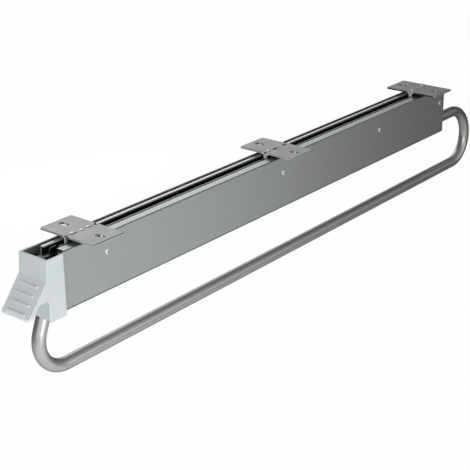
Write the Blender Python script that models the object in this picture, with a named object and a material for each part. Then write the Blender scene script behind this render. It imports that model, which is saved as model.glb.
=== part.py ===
# Pull-out clothes rail that hangs under a wardrobe shelf.
# Three sheet-metal brackets screw to the shelf and carry the fixed runner of a
# three-part ball-bearing slide. The sheet-steel housing is riveted to the moving
# runner and carries the plastic handle and the bent hanging tube.
#
# Frame: X runs from the handle (-X) to the rear (+X), Y across, Z up.
# The origin lies on the shelf's underside, at the middle of the three brackets.
# The slide and its rivets sit on the near side, which is -Y.

import math

import bmesh
import bpy
from mathutils import Matrix, Vector

# Fits and clearances
SEAT_GAP = 0.0003
RUN_CLEARANCE = 0.0003
BALL_CLEARANCE = 0.0001
HOLE_CLEARANCE = 0.0002

# Travel of the pull-out
STROKE = 0.42

# Shelf brackets: two bent plates each
PLATE_LENGTH = 0.0305
PLATE_WIDTH = 0.053
PLATE_THICKNESS = 0.0015
PLATE_CORNER_RADIUS = 0.002
PLATE_BEND_RADIUS = 0.001
WEB_HEIGHT = 0.0245
SCREW_SLOT_LENGTH = 0.0077
SCREW_SLOT_WIDTH = 0.004
SCREW_SLOT_OFFSET = 0.0177
FRONT_BRACKET_SETBACK = 0.0158
REAR_BRACKET_SETBACK = 0.0105
WEB_RIVET_SPACING = 0.016

# Housing: open-topped sheet channel with a folded strip along its far wall
HOUSING_LENGTH = 0.4992
HOUSING_WIDTH = 0.0257
HOUSING_HEIGHT = 0.0431
HOUSING_SHEET = 0.001
HOUSING_BEND_RADIUS = 0.001
HOUSING_HEADROOM = 0.0019
FAR_RIM_DROP = 0.0004
FAR_STRIP_WIDTH = 0.0034
FAR_STRIP_GAP = 0.0031
FAR_STRIP_DROP = 0.0002
FAR_STRIP_DEPTH = 0.0075
FRONT_RIVET_SETBACK = 0.0418
SECOND_RIVET_SPACING = 0.2028
REAR_RIVET_SETBACK = 0.0075
THIRD_RIVET_SPACING = 0.1047

# Slide: housing runner, middle runner and fixed runner, one inside the other
RUNNER_HEIGHT = 0.0254
RUNNER_DROP = 0.0002
RUNNER_SHEET = 0.0012
RUNNER_FRONT_INSET = 0.0037
RUNNER_REAR_INSET = 0.003
MIDDLE_RUNNER_SHEET = 0.001
MIDDLE_FLANGE_RELIEF = 0.0008
FIXED_PLATE_THICKNESS = 0.0015
FIXED_FLANGE_THICKNESS = 0.001
FIXED_PLATE_DROP = 0.0007
FIXED_LIP_WIDTH = 0.0028
FIXED_FRONT_OVERHANG = 0.0075
FIXED_REAR_OVERHANG = 0.0035
CAGE_SHEET = 0.0006
CAGE_END_MARGIN = 0.006
CAGE_ARM_MARGIN = 0.0005
BALL_DIAMETER = 0.0024
BALLS_PER_ROW = 4
BALL_END_MARGIN = 0.012

# Closing buffer on the front of the fixed runner
BUFFER_WIDTH = 0.008
BUFFER_HEIGHT = 0.018
BUFFER_FINGER_RELIEF = 0.002
BUFFER_FINGER_ROOT = 0.010
BUFFER_FINGER_DEPTH = 0.0026
BUFFER_EDGE_RADIUS = 0.001

# Front handle: hollow moulding with a flared grip and a socket for the tube
HANDLE_SIDE_STEP = 0.0009
HANDLE_TOP_DROP = 0.0004
HANDLE_DEPTH = 0.0147
HANDLE_KINK_DEPTH = 0.0159
HANDLE_KINK_DROP = 0.0148
GRIP_DEPTH = 0.0345
GRIP_DROP = 0.0376
GRIP_THICKNESS = 0.0034
ARCH_DROP = 0.0292
ARCH_RADIUS = 0.0035
LEG_DEPTH = 0.0149
LEG_DROP = 0.003
HANDLE_FRONT_WALL = 0.002
HANDLE_SIDE_WALL = 0.0018
HANDLE_EDGE_RADIUS = 0.0009
RIB_COUNT = 4
RIB_SPACING = 0.0066
RIB_FIRST = 0.0054
RIB_WIDTH = 0.0014
RIB_HEIGHT = 0.0006
RIB_END_MARGIN = 0.0038
TONGUE_LENGTH = 0.0135
TONGUE_HEIGHT = 0.0055
TONGUE_SIDE_GAP = 0.0008
SOCKET_WALL = 0.0012
SOCKET_LIP = 0.0025
SOCKET_LEAN = math.radians(21.0)
SOCKET_DEPTH = 0.010
SOCKET_ROOF = 0.003
SLEEVE_WALL = 0.0018
POCKET_DEPTH = 0.009

# Hanging tube
TUBE_DIAMETER = 0.010
TUBE_WALL = 0.001
TUBE_BEND_RADIUS = 0.024
HANGING_DROP = 0.0465
TUBE_FRONT_SAG = 0.0009
TUBE_REAR_REACH = 0.0675
TUBE_REAR_INSERT = 0.070

# Rear tube holder
HOLDER_LENGTH = 0.016
HOLDER_WALL = 0.0011
HOLDER_FOOT_WIDTH = 0.005
HOLDER_FOOT_HEIGHT = 0.003
HOLDER_SETBACK = 0.020

# Fasteners
RIVET_DIAMETER = 0.003
RIVET_HEAD_DIAMETER = 0.0046
RIVET_HEAD_HEIGHT = 0.0011
SCREW_DIAMETER = 0.0034
SCREW_HEAD_DIAMETER = 0.0066
SCREW_HEAD_HEIGHT = 0.002
SCREW_LENGTH = 0.006

# Facets on round shapes
TUBE_SIDES = 16
ROUND_SIDES = 16
BEND_STEPS = 8

# Levels under the shelf
rimZ = -PLATE_THICKNESS - HOUSING_HEADROOM
bottomZ = rimZ - HOUSING_HEIGHT
floorZ = bottomZ + HOUSING_SHEET
runnerTopZ = rimZ - RUNNER_DROP
runnerMidZ = runnerTopZ - RUNNER_HEIGHT / 2

# Stations along the rail
bracketSpan = HOUSING_LENGTH - FRONT_BRACKET_SETBACK - REAR_BRACKET_SETBACK - PLATE_LENGTH
bracketStations = {"front": -bracketSpan / 2, "middle": 0.0, "rear": bracketSpan / 2}
housingFrontX = bracketStations["front"] - PLATE_LENGTH / 2 - FRONT_BRACKET_SETBACK
housingRearX = housingFrontX + HOUSING_LENGTH
runnerFrontX = housingFrontX + RUNNER_FRONT_INSET
runnerRearX = housingRearX - RUNNER_REAR_INSET
fixedFrontX = bracketStations["front"] - PLATE_LENGTH / 2 - FIXED_FRONT_OVERHANG
fixedRearX = bracketStations["rear"] + PLATE_LENGTH / 2 + FIXED_REAR_OVERHANG

# Faces across the rail, from the bracket webs towards the near wall
halfWidth = HOUSING_WIDTH / 2
wallInnerY = halfWidth - HOUSING_SHEET
webFaceY = SEAT_GAP / 2
webBackY = webFaceY + PLATE_THICKNESS
fixedPlateFarY = -webBackY - SEAT_GAP
fixedPlateNearY = fixedPlateFarY - FIXED_PLATE_THICKNESS
runnerEdgeY = fixedPlateNearY - RUN_CLEARANCE
runnerWebOuterY = -wallInnerY + SEAT_GAP
runnerWebInnerY = runnerWebOuterY + RUNNER_SHEET
outerCageOuterY = runnerWebInnerY + RUN_CLEARANCE
outerCageInnerY = outerCageOuterY + CAGE_SHEET
middleWebOuterY = outerCageInnerY + RUN_CLEARANCE
middleWebInnerY = middleWebOuterY + MIDDLE_RUNNER_SHEET
innerCageOuterY = middleWebInnerY + RUN_CLEARANCE
innerCageInnerY = innerCageOuterY + CAGE_SHEET
fixedFlangeEndY = innerCageInnerY + RUN_CLEARANCE
middleFlangeEndY = fixedPlateNearY - MIDDLE_FLANGE_RELIEF

# Half heights in the slide, from its outer flange inwards to the fixed flange
ballStep = BALL_DIAMETER + 2 * BALL_CLEARANCE
runnerInnerHalf = RUNNER_HEIGHT / 2 - RUNNER_SHEET
middleOuterHalf = runnerInnerHalf - ballStep
middleInnerHalf = middleOuterHalf - MIDDLE_RUNNER_SHEET
fixedOuterHalf = middleInnerHalf - ballStep
fixedInnerHalf = fixedOuterHalf - FIXED_FLANGE_THICKNESS
outerBallHalf = (runnerInnerHalf + middleOuterHalf) / 2
innerBallHalf = (middleInnerHalf + fixedOuterHalf) / 2
ballHoleRadius = BALL_DIAMETER / 2 + HOLE_CLEARANCE
fixedPlateHalf = RUNNER_HEIGHT / 2 + RUNNER_DROP - FIXED_PLATE_DROP

# Hanging tube and its seats
tubeRadius = TUBE_DIAMETER / 2
upperRunZ = floorZ + SEAT_GAP + HOLDER_WALL + HOLE_CLEARANCE + tubeRadius
lowerRunZ = bottomZ - HANGING_DROP
frontRunZ = lowerRunZ - TUBE_FRONT_SAG
upperBendRadius = upperRunZ - lowerRunZ - TUBE_BEND_RADIUS
tubeRearX = housingRearX + TUBE_REAR_REACH

# Handle faces
handleRearX = housingFrontX - SEAT_GAP
handleTopZ = rimZ - HANDLE_TOP_DROP
handleHalfWidth = halfWidth + HANDLE_SIDE_STEP
legFrontX = handleRearX - LEG_DEPTH
legBottomZ = bottomZ - LEG_DROP
socketMouth = Vector((
    legFrontX + SOCKET_WALL + HOLE_CLEARANCE + tubeRadius / math.cos(SOCKET_LEAN)
    - SOCKET_LIP * math.tan(SOCKET_LEAN),
    0.0,
    legBottomZ,
))
socketAxis = Vector((math.sin(SOCKET_LEAN), 0.0, math.cos(SOCKET_LEAN)))
tubeEnd = socketMouth + socketAxis * SOCKET_DEPTH
cavityFloorZ = tubeEnd.z + SOCKET_ROOF


# Shared tools

def clearScene():
    for item in list(bpy.data.objects):
        bpy.data.objects.remove(item, do_unlink=True)


def linearColour(red, green, blue):
    values = []
    for level in (red, green, blue):
        share = level / 255
        values.append(share / 12.92 if share <= 0.04045 else ((share + 0.055) / 1.055) ** 2.4)
    return (*values, 1.0)


def makeMaterial(name, colour, roughness, metallic):
    material = bpy.data.materials.new(name)
    material.use_nodes = True
    shader = material.node_tree.nodes["Principled BSDF"]
    shader.inputs["Base Color"].default_value = linearColour(*colour)
    shader.inputs["Roughness"].default_value = roughness
    shader.inputs["Metallic"].default_value = metallic
    return material


def makeGroup(name, location, parent=None):
    group = bpy.data.objects.new(name, None)
    bpy.context.scene.collection.objects.link(group)
    group.location = location
    group.parent = parent
    return group


# An object from a finished mesh, moved under a group without changing its place
def makePart(name, shape, finish, group):
    bmesh.ops.recalc_face_normals(shape, faces=shape.faces)
    groupPlace = group.location if group.parent is None else group.location + group.parent.location
    bmesh.ops.translate(shape, verts=shape.verts, vec=-groupPlace)
    mesh = bpy.data.meshes.new(name)
    shape.to_mesh(mesh)
    shape.free()
    mesh.materials.append(materials[finish])
    part = bpy.data.objects.new(name, mesh)
    bpy.context.scene.collection.objects.link(part)
    part.parent = group
    return part


# Pieces are cut by a hidden object that stays with the part
def cutPart(part, shape):
    cutter = makePart(part.name + "_cutter", shape, "plastic", part.parent)
    cutter.hide_render = True
    cutter.display_type = "WIRE"
    cut = part.modifiers.new("cut", "BOOLEAN")
    cut.operation = "DIFFERENCE"
    cut.solver = "EXACT"
    cut.object = cutter


def joinPart(part, shape):
    addition = makePart(part.name + "_addition", shape, "plastic", part.parent)
    addition.hide_render = True
    addition.display_type = "WIRE"
    join = part.modifiers.new("join", "BOOLEAN")
    join.operation = "UNION"
    join.solver = "EXACT"
    join.object = addition


def roundEdges(part, radius, segments, angle=40.0):
    bevel = part.modifiers.new("round", "BEVEL")
    bevel.width = radius
    bevel.segments = segments
    bevel.limit_method = "ANGLE"
    bevel.angle_limit = math.radians(angle)


def smoothShading(part, angle=35.0):
    part.data.shade_smooth()
    part.data.set_sharp_from_angle(angle=math.radians(angle))


# A flat outline pushed along one axis; axis 0 is X with (y, z), axis 1 is Y with (x, z)
def addPrism(shape, outline, low, high, axis):
    loops = []
    for level in (low, high):
        loop = []
        for first, second in outline:
            place = (level, first, second) if axis == 0 else (first, level, second)
            loop.append(shape.verts.new(place))
        loops.append(loop)
    shape.faces.new(loops[0])
    shape.faces.new(reversed(loops[1]))
    count = len(outline)
    for index in range(count):
        after = (index + 1) % count
        shape.faces.new((loops[0][index], loops[0][after], loops[1][after], loops[1][index]))


def addBox(shape, low, high):
    outline = [(low[1], low[2]), (high[1], low[2]), (high[1], high[2]), (low[1], high[2])]
    addPrism(shape, outline, low[0], high[0], axis=0)


# A turned shape: profile points are (radius, height) from one pole or rim to the other
def addTurned(shape, profile, base, axis, sides=ROUND_SIDES):
    turn = Vector((0, 0, 1)).rotation_difference(Vector(axis)).to_matrix().to_4x4()
    place = Matrix.Translation(base) @ turn
    rings = []
    for radius, height in profile:
        if radius == 0.0:
            rings.append([shape.verts.new(place @ Vector((0, 0, height)))])
            continue
        ring = []
        for side in range(sides):
            angle = 2 * math.pi * side / sides
            spot = Vector((radius * math.cos(angle), radius * math.sin(angle), height))
            ring.append(shape.verts.new(place @ spot))
        rings.append(ring)
    for lower, upper in zip(rings, rings[1:]):
        for side in range(sides):
            after = (side + 1) % sides
            corners = [lower[side % len(lower)], lower[after % len(lower)],
                       upper[after % len(upper)], upper[side % len(upper)]]
            shape.faces.new(list(dict.fromkeys(corners)))


def addCylinder(shape, start, end, radius, sides=ROUND_SIDES):
    axis = Vector(end) - Vector(start)
    addTurned(shape, [(0.0, 0.0), (radius, 0.0), (radius, axis.length), (0.0, axis.length)], start, axis, sides)


def domeProfile(radius, height, steps=3):
    points = []
    for step in range(steps):
        angle = math.pi / 2 * step / steps
        points.append((radius * math.cos(angle), height * math.sin(angle)))
    points.append((0.0, height))
    return points


def arcPoints(centre, radius, start, end, steps):
    points = []
    for step in range(steps + 1):
        angle = start + (end - start) * step / steps
        points.append((centre[0] + radius * math.cos(angle), centre[1] + radius * math.sin(angle)))
    return points


# Fasteners

# A rivet with a domed head at the base and, unless it is flush, another at the far end of the grip
def makeRivet(name, base, axis, grip, group, flush=False):
    shape = bmesh.new()
    head = [(radius, -height) for radius, height in domeProfile(RIVET_HEAD_DIAMETER / 2, RIVET_HEAD_HEIGHT)]
    profile = list(reversed(head)) + [(RIVET_DIAMETER / 2, 0.0), (RIVET_DIAMETER / 2, grip)]
    if flush:
        profile.append((0.0, grip))
    else:
        tail = domeProfile(RIVET_HEAD_DIAMETER / 2, RIVET_HEAD_HEIGHT)
        profile += [(radius, grip + height) for radius, height in tail]
    addTurned(shape, profile, base, axis)
    smoothShading(makePart(name, shape, "zinc", group))


# A pan-head screw: the base is the seat of the head, and the axis points along the shank
def makeScrew(name, seat, axis, length, group):
    shape = bmesh.new()
    head = [(radius, -height) for radius, height in domeProfile(SCREW_HEAD_DIAMETER / 2, SCREW_HEAD_HEIGHT)]
    tipLength = SCREW_DIAMETER / 2
    profile = list(reversed(head)) + [
        (SCREW_DIAMETER / 2, 0.0),
        (SCREW_DIAMETER / 2, length - tipLength),
        (0.0, length),
    ]
    addTurned(shape, profile, seat, axis)
    smoothShading(makePart(name, shape, "zinc", group))


# Shelf brackets

# One bent plate: a wing along the shelf and a web down the middle; side is -1 near, +1 far
def makeBracketPlate(name, station, side, group):
    outerRadius = PLATE_BEND_RADIUS + PLATE_THICKNESS
    bendY = webFaceY + outerRadius
    bendZ = -outerRadius
    outline = [(PLATE_WIDTH / 2, 0.0)]
    outline += arcPoints((bendY, bendZ), outerRadius, math.pi / 2, math.pi, BEND_STEPS // 2)
    outline += [(webFaceY, -WEB_HEIGHT), (webBackY, -WEB_HEIGHT)]
    outline += arcPoints((bendY, bendZ), PLATE_BEND_RADIUS, math.pi, math.pi / 2, BEND_STEPS // 2)
    outline.append((PLATE_WIDTH / 2, -PLATE_THICKNESS))
    shape = bmesh.new()
    halfLength = PLATE_LENGTH / 2
    addPrism(shape, [(side * y, z) for y, z in outline], station - halfLength, station + halfLength, axis=0)
    wingCorners = []
    for edge in shape.edges:
        ends = [vert.co for vert in edge.verts]
        upright = abs(ends[0].x - ends[1].x) < SEAT_GAP and abs(ends[0].y - ends[1].y) < SEAT_GAP
        if upright and abs(abs(ends[0].y) - PLATE_WIDTH / 2) < SEAT_GAP:
            wingCorners.append(edge)
    bmesh.ops.bevel(shape, geom=wingCorners, offset=PLATE_CORNER_RADIUS, segments=4, profile=0.5, affect="EDGES")
    part = makePart(name, shape, "zinc", group)
    cutter = bmesh.new()
    addScrewSlot(cutter, station, side * SCREW_SLOT_OFFSET)
    for rivetX in webRivetStations(station):
        reach = webBackY + SEAT_GAP
        addCylinder(cutter, (rivetX, 0.0, runnerMidZ), (rivetX, side * reach, runnerMidZ), rivetHoleRadius())
    cutPart(part, cutter)
    smoothShading(part)


def rivetHoleRadius():
    return RIVET_DIAMETER / 2 + HOLE_CLEARANCE


def webRivetStations(station):
    return [station - WEB_RIVET_SPACING / 2, station + WEB_RIVET_SPACING / 2]


# The slot for the shelf screw runs across the rail, with round ends
def addScrewSlot(shape, station, centreY):
    radius = SCREW_SLOT_WIDTH / 2
    straight = SCREW_SLOT_LENGTH / 2 - radius
    outline = arcPoints((station, centreY + straight), radius, 0.0, math.pi, BEND_STEPS)
    outline += arcPoints((station, centreY - straight), radius, math.pi, 2 * math.pi, BEND_STEPS)
    margin = PLATE_THICKNESS
    lower = [shape.verts.new((x, y, -PLATE_THICKNESS - margin)) for x, y in outline]
    upper = [shape.verts.new((x, y, margin)) for x, y in outline]
    shape.faces.new(reversed(lower))
    shape.faces.new(upper)
    for index in range(len(outline)):
        after = (index + 1) % len(outline)
        shape.faces.new((lower[index], lower[after], upper[after], upper[index]))


def makeBrackets(group):
    for place, station in bracketStations.items():
        bracket = makeGroup(place + "_bracket", (station, 0.0, 0.0), group)
        makeBracketPlate(place + "_bracket_near_plate", station, -1, bracket)
        makeBracketPlate(place + "_bracket_far_plate", station, 1, bracket)
        for end, rivetX in zip(("front", "rear"), webRivetStations(station)):
            seatY = webBackY + SEAT_GAP
            grip = seatY - fixedPlateNearY + SEAT_GAP
            makeRivet(f"{place}_bracket_{end}_rivet", (rivetX, seatY, runnerMidZ), (0, -1, 0), grip, bracket)


# Slide

# A channel section with two flanges, open towards +Y, mirrored about the middle of the slide
def channelOutline(webOuterY, webInnerY, flangeEndY, outerHalf, innerHalf):
    upper = [(webInnerY, innerHalf), (flangeEndY, innerHalf), (flangeEndY, outerHalf), (webOuterY, outerHalf)]
    lower = [(y, -z) for y, z in reversed(upper)]
    return [(y, runnerMidZ + z) for y, z in upper + lower]


def makeHousingRunner(group):
    outline = channelOutline(runnerWebOuterY, runnerWebInnerY, runnerEdgeY, RUNNER_HEIGHT / 2, runnerInnerHalf)
    shape = bmesh.new()
    addPrism(shape, outline, runnerFrontX, runnerRearX, axis=0)
    part = makePart("housing_runner", shape, "zinc", group)
    cutter = bmesh.new()
    for rivetX in housingRivetStations():
        start = (rivetX, runnerWebOuterY - SEAT_GAP, runnerMidZ)
        end = (rivetX, runnerWebInnerY + SEAT_GAP, runnerMidZ)
        addCylinder(cutter, start, end, rivetHoleRadius())
    cutPart(part, cutter)


def makeMiddleRunner(group):
    outline = channelOutline(middleWebOuterY, middleWebInnerY, middleFlangeEndY, middleOuterHalf, middleInnerHalf)
    shape = bmesh.new()
    addPrism(shape, outline, runnerFrontX, runnerRearX, axis=0)
    makePart("middle_runner", shape, "zinc", group)


# The fixed runner: a tall back plate, two ball flanges towards the near wall and a lip along its top
def makeFixedRunner(group):
    outline = [
        (fixedPlateNearY, fixedPlateHalf),
        (fixedPlateNearY + FIXED_LIP_WIDTH, fixedPlateHalf),
        (fixedPlateNearY + FIXED_LIP_WIDTH, fixedPlateHalf - FIXED_PLATE_THICKNESS),
        (fixedPlateFarY, fixedPlateHalf - FIXED_PLATE_THICKNESS),
        (fixedPlateFarY, -fixedPlateHalf),
        (fixedPlateNearY, -fixedPlateHalf),
        (fixedPlateNearY, -fixedOuterHalf),
        (fixedFlangeEndY, -fixedOuterHalf),
        (fixedFlangeEndY, -fixedInnerHalf),
        (fixedPlateNearY, -fixedInnerHalf),
        (fixedPlateNearY, fixedInnerHalf),
        (fixedFlangeEndY, fixedInnerHalf),
        (fixedFlangeEndY, fixedOuterHalf),
        (fixedPlateNearY, fixedOuterHalf),
    ]
    shape = bmesh.new()
    addPrism(shape, [(y, runnerMidZ + z) for y, z in outline], fixedFrontX, fixedRearX, axis=0)
    part = makePart("fixed_runner", shape, "zinc", group)
    cutter = bmesh.new()
    notchHalf = PLATE_LENGTH / 2 + SEAT_GAP
    notchFloorZ = runnerMidZ + fixedPlateHalf - 2 * FIXED_PLATE_THICKNESS
    for station in bracketStations.values():
        low = (station - notchHalf, fixedPlateFarY, notchFloorZ)
        high = (station + notchHalf, fixedPlateNearY + FIXED_LIP_WIDTH + SEAT_GAP, rimZ)
        addBox(cutter, low, high)
        for rivetX in webRivetStations(station):
            start = (rivetX, fixedPlateFarY + SEAT_GAP, runnerMidZ)
            end = (rivetX, fixedPlateNearY - SEAT_GAP, runnerMidZ)
            addCylinder(cutter, start, end, rivetHoleRadius())
    cutPart(part, cutter)


# Cages and their balls stay between the runners over the whole stroke
def cageSpan():
    swing = STROKE / 4 + CAGE_END_MARGIN
    front = max(runnerFrontX, fixedFrontX) + swing
    rear = min(runnerRearX, fixedRearX) - swing
    return front, rear


def ballStations():
    front, rear = cageSpan()
    first = front + BALL_END_MARGIN
    spacing = (rear - front - 2 * BALL_END_MARGIN) / (BALLS_PER_ROW - 1)
    return [first + spacing * index for index in range(BALLS_PER_ROW)]


def makeCage(name, webOuterY, webInnerY, ballHalf, ballY, group):
    half = CAGE_SHEET / 2
    armEndY = ballY + ballHoleRadius + CAGE_ARM_MARGIN
    outline = channelOutline(webOuterY, webInnerY, armEndY, ballHalf + half, ballHalf - half)
    front, rear = cageSpan()
    shape = bmesh.new()
    addPrism(shape, outline, front, rear, axis=0)
    part = makePart(name + "_ball_cage", shape, "cage", group)
    cutter = bmesh.new()
    for level in (-ballHalf, ballHalf):
        for station in ballStations():
            start = (station, ballY, runnerMidZ + level - CAGE_SHEET)
            end = (station, ballY, runnerMidZ + level + CAGE_SHEET)
            addCylinder(cutter, start, end, ballHoleRadius, sides=12)
    cutPart(part, cutter)
    for row, level in (("lower", -ballHalf), ("upper", ballHalf)):
        for number, station in enumerate(ballStations(), start=1):
            ball = bmesh.new()
            bmesh.ops.create_uvsphere(ball, u_segments=10, v_segments=6, radius=BALL_DIAMETER / 2)
            bmesh.ops.translate(ball, verts=ball.verts, vec=(station, ballY, runnerMidZ + level))
            smoothShading(makePart(f"{name}_{row}_ball_{number}", ball, "steel", group), angle=80.0)


# The buffer plugs into the front of the fixed runner and stops the handle when it is pushed home
def makeBuffer(group):
    noseX = handleRearX - HANDLE_DEPTH + HANDLE_FRONT_WALL + SEAT_GAP
    backX = fixedFrontX - SEAT_GAP
    farY = fixedPlateNearY + BUFFER_WIDTH
    shape = bmesh.new()
    low = (noseX, fixedPlateNearY, runnerMidZ - BUFFER_HEIGHT / 2)
    high = (backX, farY, runnerMidZ + BUFFER_HEIGHT / 2)
    addBox(shape, low, high)
    part = makePart("closing_buffer", shape, "buffer", group)
    fingerHalf = fixedInnerHalf - SEAT_GAP
    fingerFarY = fixedPlateNearY - SEAT_GAP
    fingerNearY = fingerFarY - BUFFER_FINGER_DEPTH
    rootX = backX - BUFFER_FINGER_ROOT
    firstRivetX = webRivetStations(bracketStations["front"])[0]
    tipX = firstRivetX - RIVET_HEAD_DIAMETER / 2 - BUFFER_FINGER_RELIEF
    rootY = fixedPlateNearY + SEAT_GAP
    plan = [(rootX, fingerNearY), (tipX, fingerNearY), (tipX, fingerFarY), (backX, fingerFarY),
            (backX, rootY), (rootX, rootY)]
    finger = bmesh.new()
    lower = [finger.verts.new((x, y, runnerMidZ - fingerHalf)) for x, y in plan]
    upper = [finger.verts.new((x, y, runnerMidZ + fingerHalf)) for x, y in plan]
    finger.faces.new(reversed(lower))
    finger.faces.new(upper)
    for index in range(len(plan)):
        after = (index + 1) % len(plan)
        finger.faces.new((lower[index], lower[after], upper[after], upper[index]))
    roundEdges(part, BUFFER_EDGE_RADIUS, segments=2)
    joinPart(part, finger)


# Housing

def housingRivetStations():
    front = housingFrontX + FRONT_RIVET_SETBACK
    rear = housingRearX - REAR_RIVET_SETBACK
    return [front, front + SECOND_RIVET_SPACING, rear - THIRD_RIVET_SPACING, rear]


# Section of the channel; the strip stands off the far wall on a folded foot
def housingOutline():
    radius = HOUSING_BEND_RADIUS
    farRimZ = rimZ - FAR_RIM_DROP
    stripTopZ = rimZ - FAR_STRIP_DROP
    stripFarY = wallInnerY - FAR_STRIP_GAP
    stripEdgeY = stripFarY - FAR_STRIP_WIDTH
    footTopZ = stripTopZ - FAR_STRIP_DEPTH
    outline = [(-halfWidth, rimZ)]
    outline += arcPoints((-halfWidth + radius, bottomZ + radius), radius, math.pi, 1.5 * math.pi, 4)
    outline += arcPoints((halfWidth - radius, bottomZ + radius), radius, 1.5 * math.pi, 2 * math.pi, 4)
    outline += [
        (halfWidth, farRimZ),
        (wallInnerY, farRimZ),
        (wallInnerY, footTopZ),
        (stripFarY, footTopZ),
        (stripFarY, stripTopZ),
        (stripEdgeY, stripTopZ),
        (stripEdgeY, stripTopZ - HOUSING_SHEET),
        (stripFarY - HOUSING_SHEET, stripTopZ - HOUSING_SHEET),
        (stripFarY - HOUSING_SHEET, footTopZ - HOUSING_SHEET),
        (wallInnerY, footTopZ - HOUSING_SHEET),
        (wallInnerY, floorZ),
        (-wallInnerY, floorZ),
        (-wallInnerY, rimZ),
    ]
    return outline


def makeHousing(group):
    shape = bmesh.new()
    addPrism(shape, housingOutline(), housingFrontX, housingRearX, axis=0)
    part = makePart("housing", shape, "housing", group)
    cutter = bmesh.new()
    for rivetX in housingRivetStations():
        start = (rivetX, -halfWidth - SEAT_GAP, runnerMidZ)
        end = (rivetX, -wallInnerY + SEAT_GAP, runnerMidZ)
        addCylinder(cutter, start, end, rivetHoleRadius())
    for x, y in handleScrewSpots():
        addFloorHole(cutter, x, y, SCREW_DIAMETER / 2 + HOLE_CLEARANCE)
    for x, y in holderRivetSpots():
        addFloorHole(cutter, x, y, rivetHoleRadius())
    cutPart(part, cutter)
    smoothShading(part)
    for number, rivetX in enumerate(housingRivetStations(), start=1):
        base = (rivetX, -halfWidth - SEAT_GAP, runnerMidZ)
        grip = runnerWebInnerY + halfWidth + SEAT_GAP
        makeRivet(f"housing_rivet_{number}", base, (0, 1, 0), grip, group, flush=True)


def addFloorHole(shape, x, y, radius):
    addCylinder(shape, (x, y, bottomZ - SEAT_GAP), (x, y, floorZ + SEAT_GAP), radius)


# Handle

def handleScrewSpots():
    x = housingFrontX + TONGUE_LENGTH / 2
    y = wallInnerY / 2
    return [(x, -y), (x, y)]


# Side view of the moulding: front wall, flared grip, finger arch and socket leg
def handleOutline():
    kink = Vector((handleRearX - HANDLE_KINK_DEPTH, handleTopZ - HANDLE_KINK_DROP))
    gripEnd = Vector((handleRearX - GRIP_DEPTH, handleTopZ - GRIP_DROP))
    slope = (gripEnd - kink).normalized()
    inward = Vector((-slope.y, slope.x))
    if inward.x < 0:
        inward = -inward
    outline = [(handleRearX, handleTopZ), (handleRearX - HANDLE_DEPTH, handleTopZ), tuple(kink)]
    tip = GRIP_THICKNESS / 2
    tipCentre = gripEnd - slope * tip + inward * tip
    tipStart = math.atan2(-inward.y, -inward.x)
    outline += arcPoints(tipCentre, tip, tipStart, tipStart + math.pi, BEND_STEPS // 2)
    innerEnd = tipCentre + inward * tip
    archTopZ = handleTopZ - ARCH_DROP
    risen = (archTopZ - ARCH_RADIUS * (1 + inward.y) - innerEnd.y) / slope.y
    archLeft = innerEnd + slope * risen
    outline.append(tuple(archLeft))
    lean = math.atan2(-slope.x, -slope.y)
    centre = archLeft + inward * ARCH_RADIUS
    turnStart = math.atan2(archLeft.y - centre.y, archLeft.x - centre.x)
    turnEnd = math.pi / 2
    outline += arcPoints(centre, ARCH_RADIUS, turnStart, turnEnd, BEND_STEPS // 2)[1:]
    crownZ = centre.y + ARCH_RADIUS
    corner = ARCH_RADIUS * math.cos(lean)
    outline += arcPoints((legFrontX - corner, crownZ - corner), corner, math.pi / 2, 0.0, BEND_STEPS // 2)
    outline += [(legFrontX, legBottomZ), (handleRearX, legBottomZ)]
    return outline


def makeHandle(group):
    shape = bmesh.new()
    addPrism(shape, handleOutline(), -handleHalfWidth, handleHalfWidth, axis=1)
    part = makePart("front_handle", shape, "handle", group)
    roundEdges(part, HANDLE_EDGE_RADIUS, segments=2, angle=50.0)
    joinPart(part, handleTongue())
    for rib in range(RIB_COUNT):
        joinPart(part, gripRib(rib))
    for cutter in (handleCavity(), handleSocket(), handleUnderside(), handleSocketNotch()):
        cutPart(part, cutter)
    smoothShading(part, angle=30.0)
    for side, (x, y) in zip(("near", "far"), handleScrewSpots()):
        seat = (x, y, bottomZ - SEAT_GAP)
        makeScrew(f"handle_screw_{side}", seat, (0, 0, 1), SCREW_LENGTH, group)


# The tongue slips into the housing, above its floor
def handleTongue():
    shape = bmesh.new()
    reach = wallInnerY - TONGUE_SIDE_GAP
    low = (handleRearX - HANDLE_FRONT_WALL, -reach, floorZ + SEAT_GAP)
    high = (handleRearX + TONGUE_LENGTH, reach, floorZ + SEAT_GAP + TONGUE_HEIGHT)
    addBox(shape, low, high)
    return shape


# One rib across the flared grip, counted down from the kink
def gripRib(number):
    kink = Vector((handleRearX - HANDLE_KINK_DEPTH, handleTopZ - HANDLE_KINK_DROP))
    gripEnd = Vector((handleRearX - GRIP_DEPTH, handleTopZ - GRIP_DROP))
    slope = (gripEnd - kink).normalized()
    outward = Vector((slope.y, -slope.x))
    if outward.x > 0:
        outward = -outward
    middle = kink + slope * (RIB_FIRST + RIB_SPACING * number)
    half = slope * RIB_WIDTH / 2
    crest = outward * RIB_HEIGHT
    root = -outward * RIB_WIDTH
    outline = [middle - half + root, middle - half / 2 + crest, middle + half / 2 + crest, middle + half + root]
    shape = bmesh.new()
    reach = handleHalfWidth - RIB_END_MARGIN
    addPrism(shape, [tuple(point) for point in outline], -reach, reach, axis=1)
    return shape


# The hollow behind the front wall is open above and towards the housing
def handleCavity():
    shape = bmesh.new()
    reach = handleHalfWidth - HANDLE_SIDE_WALL
    low = (handleRearX - HANDLE_DEPTH + HANDLE_FRONT_WALL, -reach, cavityFloorZ)
    high = (handleRearX + TONGUE_LENGTH + SEAT_GAP, reach, handleTopZ + HANDLE_FRONT_WALL)
    addBox(shape, low, high)
    return shape


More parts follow.
